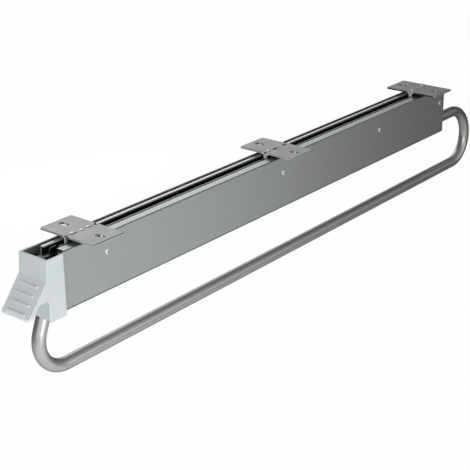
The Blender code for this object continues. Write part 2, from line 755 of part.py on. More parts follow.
# One stepped bore along the leaning axis: the tube's seat, the screw's hole and a recess for its head
def handleSocket():
    boreRadius = tubeRadius + HOLE_CLEARANCE
    shankRadius = SCREW_DIAMETER / 2 + HOLE_CLEARANCE
    headRadius = SCREW_HEAD_DIAMETER / 2 + SEAT_GAP
    seatLevel = SOCKET_DEPTH + SEAT_GAP
    roofLevel = SOCKET_DEPTH + SOCKET_ROOF
    topLevel = roofLevel + SCREW_HEAD_DIAMETER
    profile = [
        (0.0, -TUBE_DIAMETER),
        (boreRadius, -TUBE_DIAMETER),
        (boreRadius, seatLevel),
        (shankRadius, seatLevel),
        (shankRadius, roofLevel),
        (headRadius, roofLevel),
        (headRadius, topLevel),
        (0.0, topLevel),
    ]
    shape = bmesh.new()
    addTurned(shape, profile, socketMouth, socketAxis)
    return shape


# A pocket on either side of the tube's sleeve, a shorter front wall and two blind holes in the tongue
def handleUnderside():
    shape = bmesh.new()
    sleeveY = tubeRadius + HOLE_CLEARANCE + SLEEVE_WALL
    wallY = handleHalfWidth - HANDLE_SIDE_WALL
    for ends in ((-wallY, -sleeveY), (sleeveY, wallY)):
        low = (legFrontX + SOCKET_WALL, ends[0], legBottomZ - SEAT_GAP)
        high = (handleRearX - SOCKET_WALL, ends[1], legBottomZ + POCKET_DEPTH)
        addBox(shape, low, high)
    for x, y in handleScrewSpots():
        addCylinder(shape, (x, y, floorZ - SEAT_GAP), (x, y, bottomZ + SCREW_LENGTH), SCREW_DIAMETER / 2 + HOLE_CLEARANCE)
    return shape


def handleSocketNotch():
    shape = bmesh.new()
    wallY = handleHalfWidth - HANDLE_SIDE_WALL - SEAT_GAP
    low = (legFrontX - SEAT_GAP, -wallY, legBottomZ - SEAT_GAP)
    high = (legFrontX + SOCKET_WALL + SEAT_GAP, wallY, legBottomZ + SOCKET_LIP)
    addBox(shape, low, high)
    return shape


def tubeScrewSeat():
    return tubeEnd + socketAxis * SOCKET_ROOF


# Hanging tube

# Centre-line from the socket down the front bend, along the lower run, up the rear bends
# and forward into the housing
def tubePath():
    arcTop = frontRunZ + TUBE_BEND_RADIUS * (1 + math.sin(SOCKET_LEAN))
    drop = (socketMouth.z - arcTop) / math.cos(SOCKET_LEAN)
    arcStart = socketMouth - socketAxis * drop
    frontCentre = (arcStart.x + TUBE_BEND_RADIUS * math.cos(SOCKET_LEAN), frontRunZ + TUBE_BEND_RADIUS)
    points = [(tubeEnd.x, tubeEnd.z)]
    points += arcPoints(frontCentre, TUBE_BEND_RADIUS, math.pi - SOCKET_LEAN, 1.5 * math.pi, BEND_STEPS + 2)
    rearCentre = (tubeRearX - TUBE_BEND_RADIUS, lowerRunZ + TUBE_BEND_RADIUS)
    points += arcPoints(rearCentre, TUBE_BEND_RADIUS, -0.5 * math.pi, 0.0, BEND_STEPS)
    topCentre = (tubeRearX - upperBendRadius, upperRunZ - upperBendRadius)
    points += arcPoints(topCentre, upperBendRadius, 0.0, 0.5 * math.pi, BEND_STEPS)[1:]
    points.append((housingRearX - TUBE_REAR_INSERT, upperRunZ))
    return [Vector((x, 0.0, z)) for x, z in points]


def makeTube(group):
    path = tubePath()
    shape = bmesh.new()
    shells = []
    for radius in (tubeRadius, tubeRadius - TUBE_WALL):
        rings = []
        for index, point in enumerate(path):
            before = path[max(index - 1, 0)]
            after = path[min(index + 1, len(path) - 1)]
            along = (after - before).normalized()
            across = Vector((0, 1, 0))
            third = along.cross(across)
            ring = []
            for side in range(TUBE_SIDES):
                angle = 2 * math.pi * side / TUBE_SIDES
                ring.append(shape.verts.new(point + radius * (math.cos(angle) * across + math.sin(angle) * third)))
            rings.append(ring)
        for first, second in zip(rings, rings[1:]):
            for side in range(TUBE_SIDES):
                turn = (side + 1) % TUBE_SIDES
                shape.faces.new((first[side], first[turn], second[turn], second[side]))
        shells.append(rings)
    for end in (0, -1):
        outer = shells[0][end]
        inner = shells[1][end]
        for side in range(TUBE_SIDES):
            turn = (side + 1) % TUBE_SIDES
            shape.faces.new((outer[side], outer[turn], inner[turn], inner[side]))
    smoothShading(makePart("hanging_tube", shape, "tube", group))


# A plug in the tube's front end takes the screw through the roof of the socket
def makeTubePlug(group):
    plugRadius = tubeRadius - TUBE_WALL - SEAT_GAP
    holeRadius = SCREW_DIAMETER / 2 + HOLE_CLEARANCE
    plugLength = SCREW_LENGTH + SEAT_GAP
    profile = [(holeRadius, 0.0), (plugRadius, 0.0), (plugRadius, plugLength), (holeRadius, plugLength),
               (holeRadius, 0.0)]
    shape = bmesh.new()
    addTurned(shape, profile, tubeEnd, -socketAxis)
    bmesh.ops.remove_doubles(shape, verts=shape.verts, dist=1e-7)
    makePart("tube_plug", shape, "plastic", group)
    makeScrew("tube_screw", tubeScrewSeat() + socketAxis * SEAT_GAP, -socketAxis, SOCKET_ROOF + SCREW_LENGTH, group)


# Rear holder

def holderX():
    return housingRearX - HOLDER_SETBACK - HOLDER_LENGTH / 2


def holderRivetSpots():
    y = tubeRadius + HOLE_CLEARANCE + HOLDER_WALL + HOLDER_FOOT_WIDTH / 2
    return [(holderX(), -y), (holderX(), y)]


# A saddle round the tube, with a foot on either side riveted to the floor of the housing
def makeHolder(group):
    baseZ = floorZ + SEAT_GAP
    bodyHalf = tubeRadius + HOLE_CLEARANCE + HOLDER_WALL
    footHalf = bodyHalf + HOLDER_FOOT_WIDTH
    outline = [(-footHalf, baseZ), (footHalf, baseZ), (footHalf, baseZ + HOLDER_FOOT_HEIGHT),
               (bodyHalf, baseZ + HOLDER_FOOT_HEIGHT)]
    outline += arcPoints((0.0, upperRunZ), bodyHalf, 0.0, math.pi, BEND_STEPS)
    outline += [(-bodyHalf, baseZ + HOLDER_FOOT_HEIGHT), (-footHalf, baseZ + HOLDER_FOOT_HEIGHT)]
    front = holderX() - HOLDER_LENGTH / 2
    rear = holderX() + HOLDER_LENGTH / 2
    shape = bmesh.new()
    addPrism(shape, outline, front, rear, axis=0)
    part = makePart("rear_tube_holder", shape, "plastic", group)
    cutter = bmesh.new()
    start = (front - SEAT_GAP, 0.0, upperRunZ)
    end = (rear + SEAT_GAP, 0.0, upperRunZ)
    addCylinder(cutter, start, end, tubeRadius + HOLE_CLEARANCE, sides=TUBE_SIDES)
    for x, y in holderRivetSpots():
        top = baseZ + HOLDER_FOOT_HEIGHT + SEAT_GAP
        addCylinder(cutter, (x, y, baseZ - SEAT_GAP), (x, y, top), rivetHoleRadius())
    cutPart(part, cutter)
    for side, (x, y) in zip(("near", "far"), holderRivetSpots()):
        grip = floorZ + 3 * SEAT_GAP + HOLDER_FOOT_HEIGHT - bottomZ
        makeRivet(f"holder_rivet_{side}", (x, y, bottomZ - SEAT_GAP), (0, 0, 1), grip, group)


# Assembly

clearScene()

materials = {
    "housing": makeMaterial("satin_grey_steel", (160, 165, 161), 0.42, 0.8),
    "zinc": makeMaterial("zinc_plated_steel", (172, 174, 173), 0.35, 0.9),
    "tube": makeMaterial("satin_steel_tube", (158, 160, 156), 0.3, 0.95),
    "steel": makeMaterial("bright_steel", (200, 202, 204), 0.15, 1.0),
    "handle": makeMaterial("pale_grey_plastic", (205, 212, 213), 0.45, 0.0),
    "plastic": makeMaterial("dark_grey_plastic", (60, 62, 63), 0.5, 0.0),
    "buffer": makeMaterial("black_plastic", (24, 25, 26), 0.55, 0.0),
    "cage": makeMaterial("cage_steel", (128, 130, 131), 0.4, 0.9),
}

slideLine = (0.0, (runnerWebOuterY + fixedPlateFarY) / 2, runnerMidZ)
shelfFixing = makeGroup("shelf_fixing", (0.0, 0.0, 0.0))
middleSlide = makeGroup("middle_slide", slideLine)
outerCage = makeGroup("outer_cage", slideLine)
innerCage = makeGroup("inner_cage", slideLine)
pullOut = makeGroup("pull_out", slideLine)

makeBrackets(shelfFixing)
makeFixedRunner(shelfFixing)
makeBuffer(shelfFixing)
makeMiddleRunner(middleSlide)
outerBallY = (runnerWebInnerY + runnerEdgeY) / 2
innerBallY = fixedPlateNearY - RUN_CLEARANCE - CAGE_ARM_MARGIN - ballHoleRadius
makeCage("outer", outerCageOuterY, outerCageInnerY, outerBallHalf, outerBallY, outerCage)
makeCage("inner", innerCageOuterY, innerCageInnerY, innerBallHalf, innerBallY, innerCage)
makeHousingRunner(pullOut)
makeHousing(pullOut)
makeHandle(pullOut)
makeTube(pullOut)
makeTubePlug(pullOut)
makeHolder(pullOut)
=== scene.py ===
import math

import bmesh
import bpy
from mathutils import Matrix, Vector


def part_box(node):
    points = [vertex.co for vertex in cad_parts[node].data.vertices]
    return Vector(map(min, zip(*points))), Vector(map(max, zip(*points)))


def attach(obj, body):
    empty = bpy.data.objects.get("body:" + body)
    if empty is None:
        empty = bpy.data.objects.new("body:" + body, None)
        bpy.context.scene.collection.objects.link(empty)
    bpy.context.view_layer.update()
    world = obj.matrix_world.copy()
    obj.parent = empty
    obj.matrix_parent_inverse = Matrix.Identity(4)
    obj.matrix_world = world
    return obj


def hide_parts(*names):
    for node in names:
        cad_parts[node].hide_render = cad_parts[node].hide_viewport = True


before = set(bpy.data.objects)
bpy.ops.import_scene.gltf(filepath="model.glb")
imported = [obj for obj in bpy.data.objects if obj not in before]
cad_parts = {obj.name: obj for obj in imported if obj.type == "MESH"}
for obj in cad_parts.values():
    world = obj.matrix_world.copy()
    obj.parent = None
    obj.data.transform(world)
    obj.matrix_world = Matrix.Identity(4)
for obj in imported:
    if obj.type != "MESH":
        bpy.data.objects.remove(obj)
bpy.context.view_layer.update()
print("frame loaded:", len(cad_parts), "nodes")

sliver = 0.000002  # narrower faces are welded away
speck = 0.00001  # points closer than this are one point
hair = 0.0001  # slack in the tests that pick faces
over = 0.001  # how far a cutter reaches past what it cuts


# Outlines and meshes

# corners are (a, b, radius); a corner with a radius becomes a short arc
def outlinePoints(corners, steps=5):
    points = []
    for index, (a, b, radius) in enumerate(corners):
        here = Vector((a, b))
        if radius <= 0:
            points.append(here)
            continue
        toBefore = (Vector(corners[index - 1][:2]) - here).normalized()
        toAfter = (Vector(corners[(index + 1) % len(corners)][:2]) - here).normalized()
        half = toBefore.angle(toAfter) / 2
        start = here + toBefore * radius / math.tan(half)
        end = here + toAfter * radius / math.tan(half)
        centre = here + (toBefore + toAfter).normalized() * radius / math.sin(half)
        first = math.atan2(start.y - centre.y, start.x - centre.x)
        last = math.atan2(end.y - centre.y, end.x - centre.x)
        sweep = (last - first + math.pi) % (2 * math.pi) - math.pi
        for step in range(steps + 1):
            angle = first + sweep * step / steps
            points.append(centre + radius * Vector((math.cos(angle), math.sin(angle))))
    return points


# pushes a closed outline through space: place(a, b, level) gives each point
def pushOutline(shape, points, low, high, place):
    loops = [[shape.verts.new(place(a, b, level)) for a, b in points] for level in (low, high)]
    shape.faces.new(loops[0])
    shape.faces.new(reversed(loops[1]))
    for index in range(len(points)):
        after = (index + 1) % len(points)
        shape.faces.new((loops[0][index], loops[0][after], loops[1][after], loops[1][index]))


def alongX(a, b, level):
    return (level, a, b)


def alongY(a, b, level):
    return (a, level, b)


def alongZ(a, b, level):
    return (a, b, level)


def addBox(shape, low, high):
    points = [(low[1], low[2]), (high[1], low[2]), (high[1], high[2]), (low[1], high[2])]
    pushOutline(shape, points, low[0], high[0], alongX)


# a turned shape on any axis: profile is (radius, height), from one pole to the other
def addTurned(shape, profile, base, axis, sides):
    place = Matrix.Translation(base) @ Vector((0, 0, 1)).rotation_difference(axis).to_matrix().to_4x4()
    rings = []
    for radius, height in profile:
        turns = sides if radius > 0 else 1
        spots = [2 * math.pi * side / turns for side in range(turns)]
        rings.append([shape.verts.new(place @ Vector((radius * math.cos(a), radius * math.sin(a), height)))
                      for a in spots])
    for lower, upper in zip(rings, rings[1:]):
        for side in range(sides):
            after = (side + 1) % sides
            corners = [lower[side % len(lower)], lower[after % len(lower)],
                       upper[after % len(upper)], upper[side % len(upper)]]
            shape.faces.new(list(dict.fromkeys(corners)))


def roundEdges(shape, edges, radius, steps=3):
    bmesh.ops.bevel(shape, geom=edges, offset=radius, segments=steps, profile=0.5, affect="EDGES")


def linkPiece(name, mesh):
    piece = bpy.data.objects.new(name, mesh)
    bpy.context.scene.collection.objects.link(piece)
    return piece


def newPiece(name, shape):
    bmesh.ops.recalc_face_normals(shape, faces=shape.faces)
    mesh = bpy.data.meshes.new(name)
    shape.to_mesh(mesh)
    shape.free()
    return linkPiece(name, mesh)


# cuts the shape out of the piece, or joins it on with "UNION"
def cutPiece(piece, shape, label, operation="DIFFERENCE"):
    cutter = newPiece(piece.name + label, shape)
    cutter.hide_render = True
    cut = piece.modifiers.new(label, "BOOLEAN")
    cut.operation = operation
    cut.solver = "EXACT"
    cut.object = cutter


def softenEdges(piece, width):
    bevel = piece.modifiers.new("soften", "BEVEL")
    bevel.width = width
    bevel.segments = 2
    bevel.limit_method = "ANGLE"
    bevel.angle_limit = math.radians(32)


def evaluatedMesh(piece):
    graph = bpy.context.evaluated_depsgraph_get()
    return bpy.data.meshes.new_from_object(piece.evaluated_get(graph))


# smooth shading that keeps large faces flat beside narrow bevels
def evenShading(piece, smoothAngle):
    piece.data.shade_smooth()
    piece.data.set_sharp_from_angle(angle=math.radians(smoothAngle))
    even = piece.modifiers.new("even", "WEIGHTED_NORMAL")
    even.weight = 100
    even.keep_sharp = True
    finished = evaluatedMesh(piece)
    piece.modifiers.clear()
    piece.data = finished


# welds the slivers that the bevels and cuts leave
def dropSlivers(mesh):
    shape = bmesh.new()
    shape.from_mesh(mesh)
    bmesh.ops.remove_doubles(shape, verts=shape.verts, dist=sliver)
    bmesh.ops.dissolve_degenerate(shape, dist=sliver, edges=shape.edges)
    shape.to_mesh(mesh)
    shape.free()


# the finished mesh takes the place of the modifiers, and the cutters go
def settlePiece(piece, smoothAngle=35):
    finished = evaluatedMesh(piece)
    dropSlivers(finished)
    cutters = [step.object for step in piece.modifiers if step.type == "BOOLEAN"]
    piece.modifiers.clear()
    piece.data = finished
    for cutter in cutters:
        bpy.data.objects.remove(cutter, do_unlink=True)
    evenShading(piece, smoothAngle)


def dressPiece(piece, finish, slotName, body, *nodes):
    piece.data.materials.clear()
    piece.data.materials.append(finish)
    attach(piece, body)
    if nodes:
        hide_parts(*nodes)


# another finish on the faces that the test picks by centre and normal
def paintFaces(piece, finish, test):
    finishes = piece.data.materials
    if finish.name not in finishes:
        finishes.append(finish)
    for face in piece.data.polygons:
        if test(face.center, face.normal):
            face.material_index = finishes.find(finish.name)


# Nodes that shaders and trees share

# numbers are set, sockets are linked, and a list of sockets goes to one input
def setInputs(tree, node, values):
    for label, value in values.items():
        for part in value if isinstance(value, list) else [value]:
            if isinstance(part, bpy.types.NodeSocket):
                tree.links.new(part, node.inputs[label])
            else:
                node.inputs[label].default_value = part
    return node.outputs


def addNode(tree, kind, values, **settings):
    node = tree.nodes.new(kind)
    for name, value in settings.items():
        setattr(node, name, value)
    return setInputs(tree, node, values)


def mathNode(tree, operation, *values):
    return addNode(tree, "ShaderNodeMath", dict(enumerate(values)), operation=operation)["Value"]


# a vector of numbers or sockets, by axis
def vectorNode(tree, **parts):
    return addNode(tree, "ShaderNodeCombineXYZ", parts)["Vector"]


# a smooth change from start to end as the value goes from first to last
def fadeNode(tree, value, first, last, start, end):
    ends = {"Value": value, "From Min": first, "From Max": last, "To Min": start, "To Max": end}
    return addNode(tree, "ShaderNodeMapRange", ends, interpolation_type="SMOOTHSTEP")["Result"]


# a node group with its inputs and one output
def newTree(kind, name, inputs, output, outputKind):
    tree = bpy.data.node_groups.new(name, kind)
    for label, inputKind, value in inputs:
        entry = tree.interface.new_socket(label, in_out="INPUT", socket_type="NodeSocket" + inputKind)
        if value is not None:
            entry.default_value = value
    tree.interface.new_socket(output, in_out="OUTPUT", socket_type="NodeSocket" + outputKind)
    return tree, tree.nodes.new("NodeGroupInput").outputs


# Finishes

def colourOf(red, green, blue):
    levels = [value / 255 for value in (red, green, blue)]
    return (*[v / 12.92 if v <= 0.04045 else ((v + 0.055) / 1.055) ** 2.4 for v in levels], 1.0)


# noise pulled out along one axis
def pulledNoise(group, size, values):
    pulled = addNode(group, "ShaderNodeVectorMath", {0: size["Vector"], 1: size["Stretch"]},
                     operation="MULTIPLY")["Vector"]
    return addNode(group, "ShaderNodeTexNoise", {"Vector": pulled, "Scale": size["Scale"], **values})["Fac"]


# long drawn lines in sheet and tube
def makeDrawnGrain():
    group, size = newTree("ShaderNodeTree", "drawnGrain", [
        ("Vector", "Vector", (0, 0, 0)), ("Stretch", "Vector", (0.02, 1, 1)),
        ("Scale", "Float", 1600.0)], "Grain", "Float")
    noise = pulledNoise(group, size, {"Detail": 5.0, "Roughness": 0.65})
    addNode(group, "NodeGroupOutput", {"Grain": noise})
    return group


# soft clouding of a finish, remapped to a low and a high value
def makeClouding():
    group, size = newTree("ShaderNodeTree", "clouding", [
        ("Vector", "Vector", (0, 0, 0)), ("Scale", "Float", 60.0),
        ("Low", "Float", 0.3), ("High", "Float", 0.4)], "Value", "Float")
    noise = addNode(group, "ShaderNodeTexNoise", {
        "Vector": size["Vector"], "Scale": size["Scale"], "Detail": 3.0})["Fac"]
    spread = addNode(group, "ShaderNodeMapRange", {
        "Value": noise, "From Min": 0.3, "From Max": 0.7, "To Min": size["Low"], "To Max": size["High"]})
    addNode(group, "NodeGroupOutput", {"Value": spread["Result"]})
    return group


# thin scuffs from handling: a narrow band of a stretched noise
def makeScuffs():
    group, size = newTree("ShaderNodeTree", "scuffs", [
        ("Vector", "Vector", (0, 0, 0)), ("Stretch", "Vector", (0.15, 1, 1)),
        ("Scale", "Float", 140.0), ("Width", "Float", 0.012)], "Mask", "Float")
    noise = pulledNoise(group, size, {"Detail": 2.0})
    fromBand = mathNode(group, "ABSOLUTE", mathNode(group, "SUBTRACT", noise, 0.58))
    addNode(group, "NodeGroupOutput", {"Mask": fadeNode(group, fromBand, 0.0, size["Width"], 1.0, 0.0)})
    return group


drawnGrain = makeDrawnGrain()
clouding = makeClouding()
scuffs = makeScuffs()
grainDepth = 0.0001  # of every finish's bump


def newMaterial(name):
    material = bpy.data.materials.new(name)
    material.use_nodes = True
    return material, material.node_tree


def placeGroup(tree, group, spots, values):
    return addNode(tree, "ShaderNodeGroup", {"Vector": spots, **values}, node_tree=group)[0]


def mixColours(tree, factor, first, second):
    parts = {"Factor": factor, "A": first, "B": second}
    return addNode(tree, "ShaderNodeMix", parts, data_type="RGBA")["Result"]


# every finish shows its grain as a bump too
def setShader(tree, look, grain, values):
    bump = addNode(tree, "ShaderNodeBump", {
        "Strength": look["bump"], "Distance": grainDepth, "Height": grain})["Normal"]
    setInputs(tree, tree.nodes["Principled BSDF"], {"Normal": bump, **values})


# metal: drawn grain in colour and bump, clouded roughness, faint scuffs
def makeMetal(name, look):
    material, tree = newMaterial(name)
    coordinates = addNode(tree, "ShaderNodeTexCoord", {})
    spots = coordinates["Object"]
    path = coordinates["UV"] if look.get("followsPath") else spots
    low, high = look["rough"]
    grain = placeGroup(tree, drawnGrain, path, {"Stretch": look["stretch"], "Scale": look["grainScale"]})
    cloud = placeGroup(tree, clouding, spots, {"Scale": look["cloudScale"], "Low": low, "High": high})
    scuff = placeGroup(tree, scuffs, spots, {"Scale": look["scuffScale"], "Width": look["scuffWidth"]})
    tint = mixColours(tree, grain, colourOf(*look["dark"]), colourOf(*look["light"]))
    worn = mathNode(tree, "MULTIPLY", scuff, look["scuffAmount"])
    setShader(tree, look, grain, {
        "Base Color": mixColours(tree, worn, tint, colourOf(*look["scuffColour"])), "Roughness": cloud,
        "Metallic": look["metallic"], "Specular Tint": (*[look.get("edgeTint", 1.0)] * 3, 1.0)})
    return material


# moulded plastic: a fine spark-eroded grain, with soft clouding of colour and gloss
def makePlastic(name, look):
    material, tree = newMaterial(name)
    spots = addNode(tree, "ShaderNodeTexCoord", {})["Object"]
    low, high = look["rough"]
    cloud = look["cloudScale"]
    grain = placeGroup(tree, drawnGrain, spots, {"Stretch": (1, 1, 1), "Scale": look["grainScale"]})
    tone = placeGroup(tree, clouding, spots, {"Scale": cloud, "Low": 0.0, "High": 1.0})
    gloss = placeGroup(tree, clouding, spots, {"Scale": cloud * 2, "Low": low, "High": high})
    tint = mixColours(tree, tone, colourOf(*look["dark"]), colourOf(*look["light"]))
    setShader(tree, look, grain, {
        "Base Color": tint, "Roughness": gloss, "Specular IOR Level": look["specular"]})
    return material


satinHousing = makeMetal("satinHousing", {
    "dark": (158, 162, 158), "light": (170, 174, 170), "metallic": 0.2, "rough": (0.42, 0.48),
    "stretch": (0.012, 1, 1), "grainScale": 1500, "cloudScale": 25, "bump": 0.05,
    "scuffScale": 90, "scuffWidth": 0.01, "scuffAmount": 0.12, "scuffColour": (190, 193, 190)})
brightZinc = makeMetal("brightZinc", {
    "dark": (184, 190, 186), "light": (196, 202, 198), "metallic": 0.9, "rough": (0.2, 0.28),
    "stretch": (0.015, 1, 1), "grainScale": 1800, "cloudScale": 40, "bump": 0.05,
    "scuffScale": 120, "scuffWidth": 0.012, "scuffAmount": 0.15, "scuffColour": (180, 184, 182)})
plateZinc = makeMetal("plateZinc", {
    "dark": (152, 155, 154), "light": (202, 205, 204), "metallic": 0.7, "rough": (0.32, 0.42),
    "stretch": (0.45, 1, 1), "grainScale": 520, "cloudScale": 70, "bump": 0.12,
    "scuffScale": 150, "scuffWidth": 0.014, "scuffAmount": 0.3, "scuffColour": (210, 212, 210)})
tubeSteel = makeMetal("tubeSteel", {
    "dark": (213, 215, 212), "light": (225, 227, 224), "metallic": 0.85, "rough": (0.27, 0.33),
    "stretch": (0.01, 1, 1), "grainScale": 2600, "cloudScale": 40, "bump": 0.02,
    "scuffScale": 130, "scuffWidth": 0.01, "scuffAmount": 0.2, "scuffColour": (180, 181, 178),
    "edgeTint": 0.25, "followsPath": True})
rivetSteel = makeMetal("rivetSteel", {
    "dark": (224, 227, 226), "light": (238, 240, 239), "metallic": 0.5, "rough": (0.2, 0.28),
    "stretch": (1, 1, 1), "grainScale": 2500, "cloudScale": 200, "bump": 0.04,
    "scuffScale": 300, "scuffWidth": 0.02, "scuffAmount": 0.2, "scuffColour": (160, 162, 161)})
ballSteel = makeMetal("ballSteel", {
    "dark": (205, 207, 209), "light": (216, 218, 220), "metallic": 1.0, "rough": (0.08, 0.12),
    "stretch": (1, 1, 1), "grainScale": 3000, "cloudScale": 300, "bump": 0.01,
    "scuffScale": 500, "scuffWidth": 0.02, "scuffAmount": 0.1, "scuffColour": (170, 172, 174)})
cageSteel = makeMetal("cageSteel", {
    "dark": (122, 124, 124), "light": (138, 140, 140), "metallic": 0.85, "rough": (0.36, 0.46),
    "stretch": (0.05, 1, 1), "grainScale": 1500, "cloudScale": 80, "bump": 0.06,
    "scuffScale": 200, "scuffWidth": 0.015, "scuffAmount": 0.2, "scuffColour": (165, 166, 166)})
shadedInside = makeMetal("shadedInside", {
    "dark": (34, 42, 41), "light": (44, 53, 52), "metallic": 0.2, "rough": (0.5, 0.6),
    "stretch": (0.02, 1, 1), "grainScale": 1500, "cloudScale": 40, "bump": 0.05,
    "scuffScale": 90, "scuffWidth": 0.01, "scuffAmount": 0.1, "scuffColour": (70, 72, 72)})
# painted highlight: a brighter copy of the zinc, for the top of the housing's strip
paintedStripHighlight = makeMetal("paintedStripHighlight", {
    "dark": (222, 227, 225), "light": (234, 238, 236), "metallic": 0.9, "rough": (0.2, 0.28),
    "stretch": (0.015, 1, 1), "grainScale": 1800, "cloudScale": 40, "bump": 0.05,
    "scuffScale": 120, "scuffWidth": 0.012, "scuffAmount": 0.15, "scuffColour": (200, 204, 202)})
# painted shade for pits and dark edge lines; on the black buffer's hook it is a painted highlight
paintedShadeAndHighlight = makeMetal("paintedShadeAndHighlight", {
    "dark": (66, 70, 69), "light": (80, 84, 83), "metallic": 0.3, "rough": (0.45, 0.55),
    "stretch": (1, 1, 1), "grainScale": 2000, "cloudScale": 90, "bump": 0.05,
    "scuffScale": 200, "scuffWidth": 0.02, "scuffAmount": 0.1, "scuffColour": (100, 102, 101)})
# painted shade: a mid grey for rims, bends, slot walls and recesses
paintedGreyShade = makeMetal("paintedGreyShade", {
    "dark": (104, 107, 106), "light": (124, 127, 126), "metallic": 0.3, "rough": (0.4, 0.5),
    "stretch": (0.05, 1, 1), "grainScale": 2500, "cloudScale": 120, "bump": 0.1,
    "scuffScale": 200, "scuffWidth": 0.02, "scuffAmount": 0.2, "scuffColour": (150, 152, 150)})
# painted highlight: near white, for glints on edges
paintedEdgeHighlight = makeMetal("paintedEdgeHighlight", {
    "dark": (228, 232, 230), "light": (242, 245, 243), "metallic": 0.25, "rough": (0.28, 0.36),
    "stretch": (1, 1, 1), "grainScale": 2500, "cloudScale": 120, "bump": 0.04,
    "scuffScale": 200, "scuffWidth": 0.02, "scuffAmount": 0.1, "scuffColour": (200, 202, 200)})
# painted light: a paler grey for faces and edges that catch the light
paintedPaleLight = makeMetal("paintedPaleLight", {
    "dark": (178, 182, 180), "light": (192, 196, 194), "metallic": 0.2, "rough": (0.36, 0.44),
    "stretch": (0.1, 1, 1), "grainScale": 2000, "cloudScale": 90, "bump": 0.05,
    "scuffScale": 200, "scuffWidth": 0.02, "scuffAmount": 0.1, "scuffColour": (160, 162, 160)})
pressedNugget = makeMetal("pressedNugget", {
    "dark": (248, 250, 250), "light": (253, 254, 254), "metallic": 1.0, "rough": (0.08, 0.12),
    "stretch": (1, 1, 1), "grainScale": 2500, "cloudScale": 200, "bump": 0.02,
    "scuffScale": 300, "scuffWidth": 0.02, "scuffAmount": 0.1, "scuffColour": (220, 222, 222)})
paleMoulding = makePlastic("paleMoulding", {
    "dark": (205, 212, 213), "light": (213, 219, 220), "rough": (0.4, 0.5), "specular": 0.45,
    "grainScale": 2600, "cloudScale": 45, "bump": 0.06})
darkMoulding = makePlastic("darkMoulding", {
    "dark": (52, 54, 55), "light": (66, 68, 69), "rough": (0.42, 0.55), "specular": 0.45,
    "grainScale": 2600, "cloudScale": 60, "bump": 0.1})
ribShade = makePlastic("ribShade", {
    "dark": (160, 167, 168), "light": (170, 177, 178), "rough": (0.45, 0.55), "specular": 0.4,
    "grainScale": 2600, "cloudScale": 60, "bump": 0.06})
ribGlint = makePlastic("ribGlint", {
    "dark": (224, 230, 231), "light": (232, 237, 238), "rough": (0.35, 0.45), "specular": 0.5,
    "grainScale": 2600, "cloudScale": 60, "bump": 0.04})
# painted shade: a darker copy of the handle's moulding, for the inside of its hollow
paintedHollowShade = makePlastic("paintedHollowShade", {
    "dark": (98, 110, 110), "light": (116, 128, 128), "rough": (0.45, 0.55), "specular": 0.4,
    "grainScale": 2600, "cloudScale": 160, "bump": 0.1})
blackMoulding = makePlastic("blackMoulding", {
    "dark": (14, 16, 16), "light": (22, 24, 24), "rough": (0.16, 0.24), "specular": 0.5,
    "grainScale": 2600, "cloudScale": 60, "bump": 0.08})
print("finishes made")


# Housing: open-topped channel, with a strip folded up along the far wall, its top painted bright zinc as a
# highlight
housing = {"sheet": 0.001, "bend": 0.001, "bendShade": 0.0015, "farRimDrop": 0.0004, "edge": 0.00016,
           "stripWidth": 0.0034, "stripGap": 0.0031, "stripDrop": 0.0002, "stripDepth": 0.0075,
           "stripBend": (0.0007, 0.0002), "footBend": (0.0004, 0.0014), "turnDown": 0.0007}


def makeHousing():
    low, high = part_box("housing")
    sheet = housing["sheet"]
    bend = housing["bend"]
    turnDown = housing["turnDown"]
    wall = high.y - sheet
    floor = low.z + sheet
    farRim = high.z - housing["farRimDrop"]
    shadeTop = low.z + housing["bendShade"]
    stripTop = high.z - housing["stripDrop"]
    stripFar = wall - housing["stripGap"]
    stripEdge = stripFar - housing["stripWidth"]
    foot = stripTop - housing["stripDepth"]
    footBend, footUnder = housing["footBend"]
    stripBend, stripUnder = housing["stripBend"]
    corners = [
        (low.y, high.z, 0), (low.y, shadeTop, 0), (low.y, low.z, bend), (high.y, low.z, bend),
        (high.y, farRim, 0), (wall, farRim, 0), (wall, foot, 0), (stripFar, foot, footBend),
        (stripFar, stripTop, stripBend), (stripEdge + turnDown, stripTop, 0),
        (stripEdge, stripTop - turnDown, 0), (stripEdge, stripTop - sheet, 0),
        (stripFar - sheet, stripTop - sheet, stripUnder), (stripFar - sheet, foot - sheet, footUnder),
        (wall, foot - sheet, 0), (wall, floor, bend - sheet), (low.y + sheet, floor, bend - sheet),
        (low.y + sheet, high.z, 0),
    ]
    shape = bmesh.new()
    pushOutline(shape, outlinePoints(corners), low.x, high.x, alongX)
    piece = newPiece("housingShell", shape)
    softenEdges(piece, housing["edge"])
    settlePiece(piece)
    dressPiece(piece, satinHousing, "housing", "pull_out", "housing")

    def isInside(spot, normal):
        within = abs(spot.y) < wall + hair and floor - hair < spot.z < farRim - 3 * hair
        return within and abs(normal.x) < 0.5

    def isFarWall(spot, normal):
        return normal.y < -0.5 and spot.y > stripFar + sheet and spot.z > foot

    def isStrip(spot, normal):
        return normal.z > 0.9 and stripEdge - hair < spot.y < stripFar and spot.z > stripTop - 4 * hair

    def isFarRim(spot, normal):
        return normal.z > 0.5 and spot.y > wall - hair and spot.z > farRim - 2 * hair

    def isLowerBend(spot, normal):
        return normal.y < -0.2 and spot.z < shadeTop and spot.y < -wall

    # painted light and shade: the inside dark as shade, the far wall's inner face paler as light, the strip's
    # top bright as a highlight, the far rim and lower bend grey as shade
    paintFaces(piece, shadedInside, isInside)
    paintFaces(piece, paintedPaleLight, isFarWall)
    paintFaces(piece, paintedStripHighlight, isStrip)
    paintFaces(piece, paintedGreyShade, isFarRim)
    paintFaces(piece, paintedGreyShade, isLowerBend)


makeHousing()
print("housing made")


